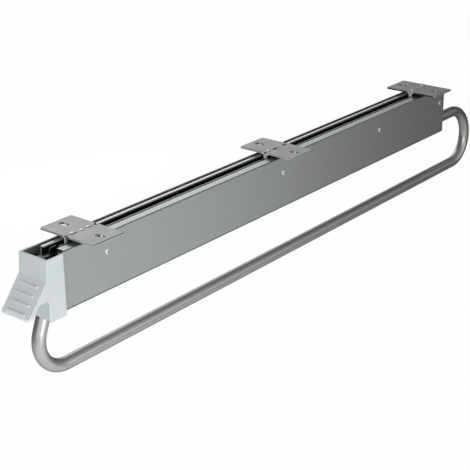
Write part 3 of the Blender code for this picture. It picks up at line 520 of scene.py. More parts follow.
# Slide: the runner in the housing is rolled, the other pieces are the solids with softened edges
housingRunner = {"sheet": 0.0012, "bend": 0.0015, "edge": 0.0002}
innerRunners = {"edge": 0.00012, "dish": 0.0013, "dishWidth": 0.0035, "bead": 0.0008}
hook = {"front": -0.2512, "back": -0.2442, "near": 0.0003, "thick": 0.0013, "rise": 0.0036, "root": 0.0004,
        "frontRound": 0.0022, "backRound": 0.001}
softened = {"cage": 0.00005, "plug": 0.0001, "holder": 0.0002, "buffer": 0.0002}


def makeHousingRunner():
    low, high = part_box("housing_runner")
    sheet = housingRunner["sheet"]
    bend = housingRunner["bend"]
    inner = bend - sheet
    corners = [
        (high.y, high.z, 0), (low.y, high.z, bend), (low.y, low.z, bend), (high.y, low.z, 0),
        (high.y, low.z + sheet, 0), (low.y + sheet, low.z + sheet, inner),
        (low.y + sheet, high.z - sheet, inner), (high.y, high.z - sheet, 0),
    ]
    shape = bmesh.new()
    pushOutline(shape, outlinePoints(corners), low.x, high.x, alongX)
    piece = newPiece("housingRunner", shape)
    softenEdges(piece, housingRunner["edge"])
    settlePiece(piece)
    dressPiece(piece, brightZinc, "zinc", "pull_out", "housing_runner")


# a merged copy of a CAD node, with its edges taken off
def softNode(name, node, finish, slotName, body, edge, cut=None):
    shape = bmesh.new()
    shape.from_mesh(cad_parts[node].data)
    bmesh.ops.remove_doubles(shape, verts=shape.verts, dist=speck)
    bmesh.ops.dissolve_limit(shape, angle_limit=math.radians(1), verts=shape.verts, edges=shape.edges)
    piece = newPiece(name, shape)
    if cut:
        cutPiece(piece, cut, "cut")
    softenEdges(piece, edge)
    settlePiece(piece)
    dressPiece(piece, finish, slotName, body, node)
    return piece


# the fixed runner's lip is dished, so that only its far edge catches light; the dish and the bead's near wall
# are also painted dark as shade
def makeFixedRunner():
    low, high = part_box("fixed_runner")
    dishFloor = high.z - innerRunners["dish"]
    bead = high.y - innerRunners["bead"]
    dish = bmesh.new()
    addBox(dish, (low.x - over, high.y - innerRunners["dishWidth"], dishFloor),
           (high.x + over, bead, high.z + over))
    piece = softNode("fixedRunner", "fixed_runner", brightZinc, "zinc", "shelf_fixing",
                     innerRunners["edge"], dish)

    def isBelowLip(spot, normal):
        return normal.z > 0.5 and spot.z < high.z - innerRunners["dish"] * 0.9

    def isBeadWall(spot, normal):
        return normal.y < -0.7 and spot.y > bead - 2 * hair and dishFloor < spot.z < high.z - 2 * hair

    # painted shade below the lip and on the bead's near wall
    paintFaces(piece, shadedInside, isBelowLip)
    paintFaces(piece, paintedShadeAndHighlight, isBeadWall)


# the buffer carries a rounded hook, whose rim is painted grey as a highlight on the black
def makeBuffer():
    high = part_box("closing_buffer")[1]
    piece = softNode("closingBuffer", "closing_buffer", blackMoulding, "buffer", "shelf_fixing",
                     softened["buffer"])
    top = high.z + hook["rise"]
    root = high.z - hook["root"]
    corners = [(hook["front"], root, 0), (hook["front"], top, hook["frontRound"]),
               (hook["back"], top, hook["backRound"]), (hook["back"], root, 0)]
    shape = bmesh.new()
    shape.from_mesh(piece.data)
    pushOutline(shape, outlinePoints(corners, steps=8), hook["near"], hook["near"] + hook["thick"], alongY)
    bmesh.ops.recalc_face_normals(shape, faces=shape.faces)
    shape.to_mesh(piece.data)
    shape.free()
    evenShading(piece, 35)
    # painted highlight: the hook's rim faces in grey
    paintFaces(piece, paintedShadeAndHighlight, lambda spot, normal: spot.z > high.z + 2 * hair and abs(normal.y) < 0.5)


makeHousingRunner()
softNode("middleRunner", "middle_runner", brightZinc, "zinc", "middle_slide", innerRunners["edge"])
makeFixedRunner()
softNode("outerCage", "outer_ball_cage", cageSteel, "cage", "outer_cage", softened["cage"])
softNode("innerCage", "inner_ball_cage", cageSteel, "cage", "inner_cage", softened["cage"])
makeBuffer()
softNode("rearTubeHolder", "rear_tube_holder", darkMoulding, "dark_plastic", "pull_out", softened["holder"])
softNode("tubePlug", "tube_plug", darkMoulding, "dark_plastic", "pull_out", softened["plug"])
print("slide members made")


# Shelf brackets: bent plates back to back, each with a screw slot
bracket = {"plate": 0.0015, "bend": 0.0002, "innerBend": 0.0012, "corner": 0.002, "edge": 0.00045,
           "lip": 0.00003, "lipDepth": 0.0009, "lipSlope": 0.0002,
           "slotLength": 0.0082, "slotWidth": 0.004, "slotOffset": 0.0177, "glint": (-0.0006, 0.0018),
           # painted per bracket, by how the light falls along the rail: a dark line of painted shade on the
           # upper edges at the front and middle, and front edges painted pale as light at the front and
           # middle and dark as shade at the rear
           "upperEdge": {"front": paintedShadeAndHighlight, "middle": paintedGreyShade, "rear": plateZinc},
           "frontEdge": {"front": paintedPaleLight, "middle": paintedPaleLight, "rear": shadedInside}}
# pressed joints along the seam: distance from the plate's front, length, and how far across
# its bright nugget sits
seam = {"width": 0.0028, "depth": 0.0007, "joints": {
    "front": [(0.0006, 0.0034, None), (0.0076, 0.0056, 0.0014), (0.015, 0.005, 0.0002),
              (0.0225, 0.0046, 0.001), (0.0292, 0.004, None)],
    "middle": [(0.0008, 0.0036, None), (0.006, 0.0046, 0.0011), (0.0136, 0.0056, None),
               (0.0262, 0.0046, None)],
    "rear": [(0.0006, 0.0036, None), (0.0055, 0.0044, 0.0004), (0.0246, 0.0044, 0.0016),
             (0.0292, 0.004, None)]}}
roundEnd = 0.999  # a slot's end radius, as a share of half its width


# a slot's outline along the rail, pushed from low to high
def addSlot(shape, centre, length, width, low, high):
    front, back, radius = centre - length / 2, centre + length / 2, width / 2
    ends = [(front, -radius), (back, -radius), (back, radius), (front, radius)]
    corners = [(x, y, radius * roundEnd) for x, y in ends]
    pushOutline(shape, outlinePoints(corners, steps=8), low, high, alongZ)


# rounds the wing's rims, from the bend outwards
def roundWing(shape, start, sign):
    everything = shape.verts[:] + shape.edges[:] + shape.faces[:]
    bmesh.ops.bisect_plane(shape, geom=everything, plane_co=(0, sign * start, 0), plane_no=(0, 1, 0))
    bmesh.ops.recalc_face_normals(shape, faces=shape.faces)
    rims = []
    for edge in shape.edges:
        outside = all(abs(v.co.y) > start - speck for v in edge.verts)
        tilts = sorted(abs(side.normal.z) for side in edge.link_faces)
        if outside and len(tilts) == 2 and tilts[0] < 0.1 and tilts[1] > 0.9:
            rims.append(edge)
    roundEdges(shape, rims, bracket["edge"])


def makeBracketPlate(place, side):
    node = f"{place}_bracket_{side}_plate"
    low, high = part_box(node)
    sign = 1 if side == "far" else -1
    plate = bracket["plate"]
    edge = bracket["edge"]
    lip = bracket["lip"]
    lipFoot = high.z - bracket["lipDepth"]
    face = min(abs(low.y), abs(high.y))
    reach = max(abs(low.y), abs(high.y))
    bendEnd = face + plate + bracket["innerBend"]
    corners = [
        (reach, high.z, 0), (lip, high.z, bracket["bend"]), (lip, lipFoot, 0),
        (face, lipFoot - bracket["lipSlope"], 0), (face, low.z, 0), (face + plate, low.z, 0),
        (face + plate, high.z - plate, bracket["innerBend"]), (reach, high.z - plate, 0),
    ]
    points = [(sign * y, z) for y, z in outlinePoints(corners, steps=7)]
    shape = bmesh.new()
    pushOutline(shape, points, low.x, high.x, alongX)
    outer = [line for line in shape.edges
             if all(abs(abs(v.co.y) - reach) < speck for v in line.verts)
             and abs(line.verts[0].co.x - line.verts[1].co.x) < speck]
    roundEdges(shape, outer, bracket["corner"], steps=7)
    roundWing(shape, bendEnd + edge, sign)
    piece = newPiece(f"{place}{side.capitalize()}Plate", shape)
    middle = (low.x + high.x) / 2
    radius = bracket["slotWidth"] / 2
    half = bracket["slotLength"] / 2
    centre = sign * bracket["slotOffset"]
    glintFrom, glintTo = bracket["glint"]
    slotCorners = [(middle - radius, centre - half, radius * roundEnd),
                   (middle + radius, centre - half, radius * roundEnd),
                   (middle + radius, centre + glintFrom, 0), (middle + radius, centre + glintTo, 0),
                   (middle + radius, centre + half, radius * roundEnd),
                   (middle - radius, centre + half, radius * roundEnd)]
    hole = bmesh.new()
    pushOutline(hole, outlinePoints(slotCorners, steps=10), high.z - 2 * plate, high.z + plate, alongZ)
    cutPiece(piece, hole, "slot")
    softenEdges(piece, edge)
    pitFloor = high.z - seam["depth"]
    pits = bmesh.new()
    for start, length, _ in seam["joints"][place]:
        addSlot(pits, low.x + start, length, seam["width"], pitFloor, high.z + plate)
    cutPiece(piece, pits, "pits")
    settlePiece(piece)
    dressPiece(piece, plateZinc, "zinc", "shelf_fixing", node)

    def inSlot(spot, normal):
        within = abs(spot.x - middle) < radius + hair and abs(spot.y - centre) < half + hair
        return within and abs(normal.z) < 0.5

    def isSlotGlint(spot, normal):
        return inSlot(spot, normal) and normal.x < -0.7 and glintFrom < spot.y - centre < glintTo

    def inPit(spot, normal):
        return abs(spot.y) < seam["width"] / 2 and pitFloor - hair < spot.z < high.z - hair

    def isFrontEdge(spot, normal):
        return normal.x < -0.8 and spot.x < low.x + hair and abs(spot.y) > face + plate

    def isUnderEdge(spot, normal):
        return normal.z < -0.3 and abs(normal.y) > 0.3 and abs(spot.y) > reach - edge - hair

    def isOuterEdge(spot, normal):
        return normal.y < -0.9 and spot.y < hair - reach

    def isUpperEdge(spot, normal):
        return normal.z > 0.2 and normal.y < -0.2 and spot.y < edge - reach + hair

    def isWebSide(spot, normal):
        return sign * normal.y > 0.5 and abs(spot.y) < face + 2 * plate

    def isWebEnd(spot, normal):
        return normal.x < -0.3 and abs(spot.y) < bendEnd

    # painted light and shade: slot walls and seam pits dark as shade, a painted highlight on each slot's far
    # wall, under edges and web sides dark as shade, outer edges pale as light, and the web's front end bright
    # as a highlight, dark as shade on the front near plate
    paintFaces(piece, paintedGreyShade, inSlot)
    paintFaces(piece, paintedEdgeHighlight, isSlotGlint)
    paintFaces(piece, paintedShadeAndHighlight, inPit)
    paintFaces(piece, bracket["frontEdge"][place], isFrontEdge)
    paintFaces(piece, shadedInside, isUnderEdge)
    paintFaces(piece, paintedPaleLight, isOuterEdge)
    paintFaces(piece, bracket["upperEdge"][place], isUpperEdge)
    paintFaces(piece, shadedInside, isWebSide)
    paintFaces(piece, paintedGreyShade if (place, side) == ("front", "near") else paintedEdgeHighlight, isWebEnd)


for place in ("front", "middle", "rear"):
    for side in ("near", "far"):
        makeBracketPlate(place, side)
print("brackets made")


# Handle: a hollow moulding with a flared grip, a finger arch and a leg that takes the tube
handle = {"gap": 0.0003, "topDrop": 0.0004, "depth": 0.0147, "edge": 0.0005,
          "kinkDepth": 0.0159, "kinkDrop": 0.0148, "kinkRadius": 0.004,
          "gripDepth": 0.0345, "gripDrop": 0.0376, "gripThick": 0.0034, "gripRound": 0.98,
          "nearCorner": 0.0045, "farCorner": 0.0015, "archDrop": 0.0292, "archRadius": 0.0035,
          "legDepth": 0.0149, "legDrop": 0.003, "legRadius": 0.0022,
          "frontWall": 0.0014, "sideWall": 0.0014, "farWall": 0.002, "cavityFloor": -0.0372,
          "tongueRoot": 0.002, "tongueLength": 0.0135, "tongueHeight": 0.0055, "tongueHalf": 0.01105,
          "tongueLift": 0.0013}
ribs = {"count": 4, "first": 0.0057, "spacing": 0.0068, "length": 0.0192, "width": 0.0024, "height": 0.00055,
        "shift": 0.0009, "glint": 0.0013, "taperFrom": 0.455, "taper": 0.0452, "steps": 60, "sides": 20}
socket = {"mouth": (-0.26165, 0.0, -0.0495), "lean": math.radians(21), "depth": 0.010, "roof": 0.003,
          "bore": 0.0052, "seatGap": 0.0003, "screwHole": 0.0019, "screwRecess": 0.0036,
          "recessDepth": 0.0066, "sleeve": 0.0018, "pocketWall": 0.0012, "pocketDepth": 0.009,
          "notchDepth": 0.0015, "notchHeight": 0.0016, "margin": 0.0003}


def socketAxis():
    return Vector((math.sin(socket["lean"]), 0, math.cos(socket["lean"])))


def gripLine():
    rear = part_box("housing")[0].x - handle["gap"]
    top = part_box("housing")[1].z - handle["topDrop"]
    kink = Vector((rear - handle["kinkDepth"], top - handle["kinkDrop"]))
    end = Vector((rear - handle["gripDepth"], top - handle["gripDrop"]))
    slope = (end - kink).normalized()
    inward = Vector((-slope.y, slope.x))
    return rear, top, kink, end, slope, inward


def handleOutline():
    rear, top, kink, end, slope, inward = gripLine()
    tip = handle["gripThick"] / 2 * handle["gripRound"]
    inner = end + inward * handle["gripThick"]
    archTop = top - handle["archDrop"]
    onInner = inner - slope * (inner.y - archTop) / slope.y
    legFront = rear - handle["legDepth"]
    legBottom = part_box("housing")[0].z - handle["legDrop"]
    return outlinePoints([
        (rear, top, 0), (rear - handle["depth"], top, 0), (kink.x, kink.y, handle["kinkRadius"]),
        (end.x, end.y, tip), (inner.x, inner.y, tip),
        (onInner.x, onInner.y, handle["archRadius"]), (legFront, archTop, handle["legRadius"]),
        (legFront, legBottom, 0), (rear, legBottom, 0),
    ], steps=7)


# rounds the lower corners of the grip, seen square on
def gripCornerCutters():
    end, slope, inward = gripLine()[3:]
    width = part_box("front_handle")[1].y
    past = 2 * over
    quarter = [math.pi / 2 * step / 8 for step in range(9)]

    def onGrip(y, rise, level):
        spot = end - slope * rise + inward * level
        return (spot.x, y, spot.y)

    shape = bmesh.new()
    for sign, radius in ((-1, handle["nearCorner"]), (1, handle["farCorner"])):
        centre = sign * (width - radius)
        arc = [(centre + sign * radius * math.sin(turn), radius - radius * math.cos(turn))
               for turn in quarter]
        outside = [(sign * (width + past), radius), (sign * (width + past), -past), (centre, -past)]
        pushOutline(shape, arc + outside, -3 * over, handle["gripThick"] + 1.2 * over, onGrip)
    return shape


# rounds the sharp edges, except where the handle meets the housing
def roundHandle(shape, rear):
    bmesh.ops.recalc_face_normals(shape, faces=shape.faces)
    sharp = []
    for edge in shape.edges:
        joint = all(v.co.x > rear - speck for v in edge.verts)
        if edge.calc_face_angle() > math.radians(50) and not joint:
            sharp.append(edge)
    roundEdges(shape, sharp, handle["edge"])


# the tube's bore, with a screw hole and its recess above
def socketBore():
    seat = socket["depth"] + socket["seatGap"]
    roof = socket["depth"] + socket["roof"]
    top = roof + socket["recessDepth"]
    bore, hole, recess = socket["bore"], socket["screwHole"], socket["screwRecess"]
    profile = [(0, -10 * over), (bore, -10 * over), (bore, seat), (hole, seat),
               (hole, roof), (recess, roof), (recess, top), (0, top)]
    shape = bmesh.new()
    addTurned(shape, profile, Vector(socket["mouth"]), socketAxis(), 40)
    return shape


def makeHandle():
    rear, top = gripLine()[:2]
    low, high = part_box("front_handle")
    shape = bmesh.new()
    pushOutline(shape, handleOutline(), low.y, high.y, alongY)
    roundHandle(shape, rear)
    piece = newPiece("frontHandle", shape)
    cutPiece(piece, gripCornerCutters(), "gripCorners")
    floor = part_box("housing")[0].z + handle["tongueLift"]
    tongueEnd = rear + handle["tongueLength"]
    tongue = bmesh.new()
    addBox(tongue, (rear - handle["tongueRoot"], -handle["tongueHalf"], floor),
           (tongueEnd, handle["tongueHalf"], floor + handle["tongueHeight"]))
    cutPiece(piece, tongue, "tongue", "UNION")
    frontWall = rear - handle["depth"] + handle["frontWall"]
    side = high.y - handle["sideWall"]
    farSide = high.y - handle["farWall"]
    hollow = bmesh.new()
    addBox(hollow, (frontWall, -side, handle["cavityFloor"]), (tongueEnd + over, farSide, top + 2 * over))
    cutPiece(piece, hollow, "hollow")
    cutPiece(piece, socketBore(), "bore")
    bottom = socket["mouth"][2]
    margin = socket["margin"]
    legFront = rear - handle["legDepth"]
    sleeve = socket["bore"] + socket["sleeve"]
    pocketWall = socket["pocketWall"]
    pockets = bmesh.new()
    for near, far in ((-side, -sleeve), (sleeve, side)):
        addBox(pockets, (legFront + pocketWall, near, bottom - margin),
               (rear - pocketWall, far, bottom + socket["pocketDepth"]))
    cutPiece(piece, pockets, "pockets")
    notch = bmesh.new()
    addBox(notch, (legFront - margin, margin - side, bottom - margin),
           (legFront + socket["notchDepth"], side - margin, bottom + socket["notchHeight"]))
    cutPiece(piece, notch, "notch")
    settlePiece(piece, smoothAngle=40)
    dressPiece(piece, paleMoulding, "handle", "pull_out", "front_handle")

    def inHollow(spot, normal):
        across = -side - hair < spot.y < farSide + hair
        within = handle["cavityFloor"] - hair < spot.z < top - 8 * hair
        return across and within and spot.x > frontWall - hair

    # the hollow's inside is painted dark as shade
    paintFaces(piece, paintedHollowShade, inHollow)


makeHandle()
print("handle made")


# Repeated pieces: node trees with named sizes, grown on points

def geometryTree(name, sizes):
    inputs = [("Geometry", "Geometry", None), *sizes, ("Finish", "Material", None)]
    tree, size = newTree("GeometryNodeTree", name, inputs, "Geometry", "Geometry")
    tree.is_modifier = True
    return tree, size


# every tree ends in real geometry with its finish
def endTree(tree, size, shape):
    real = addNode(tree, "GeometryNodeRealizeInstances", {"Geometry": shape})["Geometry"]
    done = addNode(tree, "GeometryNodeSetMaterial", {"Geometry": real, "Material": size["Finish"]})
    addNode(tree, "NodeGroupOutput", {"Geometry": done["Geometry"]})
    return tree


# copies of a shape on the points
def growOnPoints(tree, size, shape):
    copies = addNode(tree, "GeometryNodeInstanceOnPoints", {
        "Points": size["Geometry"], "Instance": shape, "Rotation": size["Turn"]})
    return endTree(tree, size, copies["Instances"])


def moveNodes(tree, shape, values):
    return addNode(tree, "GeometryNodeTransform", {"Geometry": shape, **values})["Geometry"]


# a shape moved along Z by a share of a length
def liftNodes(tree, shape, length, share, turn=(0, 0, 0)):
    rise = vectorNode(tree, Z=mathNode(tree, "MULTIPLY", length, share))
    return moveNodes(tree, shape, {"Translation": rise, "Rotation": turn})


def cutNodes(tree, shape, cutters):
    return addNode(tree, "GeometryNodeMeshBoolean", {"Mesh 1": shape, "Mesh 2": cutters},
                   operation="DIFFERENCE", solver="EXACT")["Mesh"]


def joinNodes(tree, shapes):
    return addNode(tree, "GeometryNodeJoinGeometry", {"Geometry": shapes})["Geometry"]


# a dome flattened below, standing on z = 0
def domeNodes(tree, radius, height):
    ball = addNode(tree, "GeometryNodeMeshUVSphere", {"Segments": 40, "Rings": 20, "Radius": 1.0})["Mesh"]
    place = addNode(tree, "GeometryNodeInputPosition", {})["Position"]
    split = addNode(tree, "ShaderNodeSeparateXYZ", {"Vector": place})
    above = mathNode(tree, "MAXIMUM", split["Z"], 0.0)
    spots = vectorNode(tree, X=split["X"], Y=split["Y"], Z=above)
    flat = addNode(tree, "GeometryNodeSetPosition", {"Geometry": ball, "Position": spots})["Geometry"]
    return moveNodes(tree, flat, {"Scale": vectorNode(tree, X=radius, Y=radius, Z=height)})


def rodNodes(tree, radius, length, sides):
    return addNode(tree, "GeometryNodeMeshCylinder", {
        "Vertices": sides, "Radius": radius, "Depth": length})["Mesh"]


# a shank that hangs from z = 0
def shankNodes(tree, radius, length):
    return liftNodes(tree, rodNodes(tree, radius, length, 32), length, -0.5)


# a rivet: domed head with a recess, shank through the sheets and an upset tail
def makeRivetTree():
    tree, size = geometryTree("rivets", [
        ("Head Radius", "Float", 0.0023), ("Head Height", "Float", 0.0012), ("Shank Radius", "Float", 0.0015),
        ("Grip", "Float", 0.003), ("Tail Radius", "Float", 0.0015), ("Tail Height", "Float", 0.0001),
        ("Recess Radius", "Float", 0.0008), ("Turn", "Vector", (0, 0, 0))])
    recess = rodNodes(tree, size["Recess Radius"], size["Head Height"], 24)
    raised = liftNodes(tree, recess, size["Head Height"], 1.1)
    head = cutNodes(tree, domeNodes(tree, size["Head Radius"], size["Head Height"]), [raised])
    shank = shankNodes(tree, size["Shank Radius"], size["Grip"])
    upset = domeNodes(tree, size["Tail Radius"], size["Tail Height"])
    tail = liftNodes(tree, upset, size["Grip"], -1.0, turn=(math.pi, 0, 0))
    return growOnPoints(tree, size, joinNodes(tree, [head, shank, tail]))


# a pan-head screw: dome with a cross recess, and a plain shank
def makeScrewTree():
    tree, size = geometryTree("panScrews", [
        ("Head Radius", "Float", 0.0033), ("Head Height", "Float", 0.002), ("Shank Radius", "Float", 0.0017),
        ("Length", "Float", 0.006), ("Recess", "Float", 0.0009), ("Turn", "Vector", (0, 0, 0))])
    across = mathNode(tree, "MULTIPLY", size["Head Radius"], 1.15)
    depth = mathNode(tree, "MULTIPLY", size["Head Height"], 1.2)
    arms = []
    for x, y in ((across, size["Recess"]), (size["Recess"], across)):
        arm = addNode(tree, "GeometryNodeMeshCube", {"Size": vectorNode(tree, X=x, Y=y, Z=depth)})["Mesh"]
        arms.append(liftNodes(tree, arm, size["Head Height"], 1.1))
    head = cutNodes(tree, domeNodes(tree, size["Head Radius"], size["Head Height"]), arms)
    shank = shankNodes(tree, size["Shank Radius"], size["Length"])
    return growOnPoints(tree, size, joinNodes(tree, [head, shank]))


def makeBallTree():
    tree, size = geometryTree("trackBalls", [("Ball Radius", "Float", 0.0012), ("Turn", "Vector", (0, 0, 0))])
    ball = addNode(tree, "GeometryNodeMeshIcoSphere", {"Subdivisions": 4, "Radius": size["Ball Radius"]})
    return growOnPoints(tree, size, ball["Mesh"])


# a rib: a low ridge across the grip with rounded ends, swept 1 mm thick and then squeezed to size
def makeRibTree():
    tree, size = geometryTree("gripRibs", [
        ("Length", "Float", 0.017), ("Width", "Float", 0.0016), ("Height", "Float", 0.0007),
        ("Turn", "Vector", (0, 0, 0))])
    ends = {label: vectorNode(tree, Y=mathNode(tree, "MULTIPLY", size["Length"], share))
            for label, share in (("Start", -0.5), ("End", 0.5))}
    line = addNode(tree, "GeometryNodeCurvePrimitiveLine", ends)["Curve"]
    dense = addNode(tree, "GeometryNodeResampleCurve", {"Curve": line, "Count": ribs["steps"]})["Curve"]
    along = addNode(tree, "GeometryNodeSplineParameter", {})["Factor"]
    fromMiddle = mathNode(tree, "ABSOLUTE", mathNode(tree, "SUBTRACT", along, 0.5))
    outEnd = mathNode(tree, "MAXIMUM", mathNode(tree, "SUBTRACT", fromMiddle, ribs["taperFrom"]), 0.0)
    taper = mathNode(tree, "POWER", mathNode(tree, "DIVIDE", outEnd, ribs["taper"]), 2.0)
    rounded = mathNode(tree, "SQRT", mathNode(tree, "MAXIMUM", mathNode(tree, "SUBTRACT", 1.0, taper), 0.0))
    ring = addNode(tree, "GeometryNodeCurvePrimitiveCircle", {
        "Resolution": ribs["sides"], "Radius": 1.0})["Curve"]
    sweep = addNode(tree, "GeometryNodeCurveToMesh", {
        "Curve": dense, "Profile Curve": ring, "Scale": mathNode(tree, "MULTIPLY", rounded, 0.001),
        "Fill Caps": True})["Mesh"]
    squeeze = vectorNode(tree, X=mathNode(tree, "MULTIPLY", size["Height"], 1000.0), Y=1.0,
                         Z=mathNode(tree, "MULTIPLY", size["Width"], 500.0))
    return growOnPoints(tree, size, moveNodes(tree, sweep, {"Scale": squeeze}))


def setTree(piece, tree, values):
    grow = piece.modifiers.new("grow", "NODES")
    grow.node_group = tree
    for entry in tree.interface.items_tree:
        if entry.in_out == "INPUT" and entry.name in values:
            grow[entry.identifier] = values[entry.name]


def growPiece(name, tree, points, sizes, finish, smoothAngle=50):
    mesh = bpy.data.meshes.new(name)
    mesh.from_pydata([tuple(point) for point in points], [], [])
    piece = linkPiece(name, mesh)
    setTree(piece, tree, {**sizes, "Finish": finish})
    settlePiece(piece, smoothAngle)
    return piece


def joinPieces(name, pieces):
    shape = bmesh.new()
    for piece in pieces:
        shape.from_mesh(piece.data)
        bpy.data.objects.remove(piece, do_unlink=True)
    mesh = bpy.data.meshes.new(name)
    shape.to_mesh(mesh)
    shape.free()
    piece = linkPiece(name, mesh)
    evenShading(piece, 50)
    return piece


def boxCentre(node):
    low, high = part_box(node)
    return (low + high) / 2


rivetTree = makeRivetTree()
screwTree = makeScrewTree()
ballTree = makeBallTree()
ribTree = makeRibTree()

# Rivets, screws and balls: names with capitals are the trees' own inputs
rivet = {"Head Radius": 0.0024, "Head Height": 0.0013, "Shank Radius": 0.0015, "Recess Radius": 0.0008}
upsetTail = {"Tail Radius": 0.0023, "Tail Height": 0.0011}
flushTail = {"Tail Radius": 0.0015, "Tail Height": 0.0001}
nugget = {"rise": 0.0004, "Head Radius": 0.0019, "Head Height": 0.0008, "Shank Radius": 0.0004,
          "Grip": 0.0006, "Tail Radius": 0.0004, "Tail Height": 0.0001, "Recess Radius": 0.0001,
          "Turn": (0, 0, 0)}
screw = {"Head Radius": 0.0033, "Head Height": 0.002, "Shank Radius": 0.0017, "Recess": 0.0009}
screwLength = {"handle": 0.006, "tube": 0.009}
ball = {"Ball Radius": 0.0012}
standOff = 0.00005  # heads clear the sheet by this


def makeHousingRivets():
    nodes = [f"housing_rivet_{number}" for number in (1, 2, 3, 4)]
    axes = [boxCentre(node) for node in nodes]
    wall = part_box("housing")[0].y - standOff
    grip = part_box(nodes[0])[1].y - wall
    sides = growPiece("sideRivets", rivetTree, [(axis.x, wall, axis.z) for axis in axes],
                      {**rivet, **flushTail, "Grip": grip, "Turn": (math.pi / 2, 0, 0)}, rivetSteel)
    holders = ["holder_rivet_near", "holder_rivet_far"]
    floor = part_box("housing")[0].z - standOff
    points = [(boxCentre(node).x, boxCentre(node).y, floor) for node in holders]
    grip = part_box(holders[0])[1].z - upsetTail["Tail Height"] - floor
    feet = growPiece("holderRivets", rivetTree, points,
                     {**rivet, **upsetTail, "Grip": grip, "Turn": (math.pi, 0, 0)}, rivetSteel)
    piece = joinPieces("housingRivets", [sides, feet])
    dressPiece(piece, rivetSteel, "zinc", "pull_out", *nodes, *holders)
    recess = rivet["Recess Radius"] + 2 * speck

    def inRecess(spot, normal):
        fromAxis = min(math.hypot(spot.x - axis.x, spot.z - axis.z) for axis in axes)
        return spot.y < wall - 3 * hair and fromAxis < recess

    # the heads' recesses are painted grey as shade
    paintFaces(piece, paintedGreyShade, inRecess)


def makeBracketRivets():
    nodes = [f"{place}_bracket_{end}_rivet"
             for place in ("front", "middle", "rear") for end in ("front", "rear")]
    low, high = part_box(nodes[0])
    height = upsetTail["Tail Height"]
    points = [(boxCentre(node).x, high.y - height, boxCentre(node).z) for node in nodes]
    sizes = {**rivet, **upsetTail, "Head Height": height, "Grip": high.y - low.y - 2 * height,
             "Turn": (-math.pi / 2, 0, 0)}
    piece = growPiece("bracketRivets", rivetTree, points, sizes, rivetSteel)
    dressPiece(piece, rivetSteel, "zinc", "shelf_fixing", *nodes)


def makeScrews():
    nodes = ["handle_screw_near", "handle_screw_far"]
    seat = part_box("housing")[0].z - standOff
    points = [(boxCentre(node).x, boxCentre(node).y, seat) for node in nodes]
    feet = growPiece("handleScrews", screwTree, points,
                     {**screw, "Length": screwLength["handle"], "Turn": (math.pi, 0, 0)}, rivetSteel)
    top = Vector(socket["mouth"]) + socketAxis() * (socket["depth"] + socket["roof"] + hair)
    upper = growPiece("tubeScrew", screwTree, [top],
                      {**screw, "Length": screwLength["tube"], "Turn": (0, socket["lean"], 0)}, rivetSteel)
    piece = joinPieces("panScrews", [feet, upper])
    dressPiece(piece, rivetSteel, "zinc", "pull_out", *nodes, "tube_screw")


def makeBalls():
    for cage in ("outer", "inner"):
        nodes = [f"{cage}_{row}_ball_{number}" for row in ("lower", "upper") for number in (1, 2, 3, 4)]
        points = [boxCentre(node) for node in nodes]
        piece = growPiece(cage + "Balls", ballTree, points, ball, ballSteel, 180)
        dressPiece(piece, ballSteel, "balls", cage + "_cage", *nodes)


def makeRibs():
    kink = gripLine()[2]
    slope = gripLine()[4]
    points = []
    for number in range(ribs["count"]):
        spot = kink + slope * (ribs["first"] + ribs["spacing"] * number)
        points.append((spot.x, ribs["shift"], spot.y))
    turn = math.atan2(slope.x, slope.y) + math.pi
    sizes = {"Length": ribs["length"], "Width": ribs["width"], "Height": ribs["height"], "Turn": (0, turn, 0)}
    piece = growPiece("gripRibs", ribTree, points, sizes, paleMoulding, 60)
    dressPiece(piece, paleMoulding, "handle", "pull_out")
    nearEnd = ribs["shift"] - ribs["length"] / 2
    paintFaces(piece, ribShade, lambda spot, normal: -normal.x * slope.x - normal.z * slope.y > 0.4)
    paintFaces(piece, ribGlint, lambda spot, normal: spot.y < nearEnd + ribs["glint"])


# the bright nuggets in the plates' pressed joints
def makeNuggets():
    points = []
    for place, joints in seam["joints"].items():
        low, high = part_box(f"{place}_bracket_far_plate")
        points += [(low.x + start, across, high.z + nugget["rise"] - nugget["Head Height"])
                   for start, _, across in joints if across is not None]
    piece = growPiece("seamNuggets", rivetTree, points, nugget, pressedNugget)
    dressPiece(piece, pressedNugget, "zinc", "shelf_fixing")


makeNuggets()
makeHousingRivets()
makeBracketRivets()
makeScrews()
makeBalls()
makeRibs()
print("rivets, screws, balls and ribs made")


# Hanging tube: one drawn tube bent at both ends
tube = {"radius": 0.005, "wall": 0.001, "bend": 0.024, "frontSag": 0.0009, "insert": 0.070, "sides": 48,
        "bendSteps": 28, "runSteps": 30, "seamGap": 0.000001}


def arcSpots(centre, radius, first, last):
    spots = []
    for step in range(tube["bendSteps"] + 1):
        angle = first + (last - first) * step / tube["bendSteps"]
        spots.append(Vector((centre[0] + radius * math.cos(angle), 0, centre[1] + radius * math.sin(angle))))
    return spots


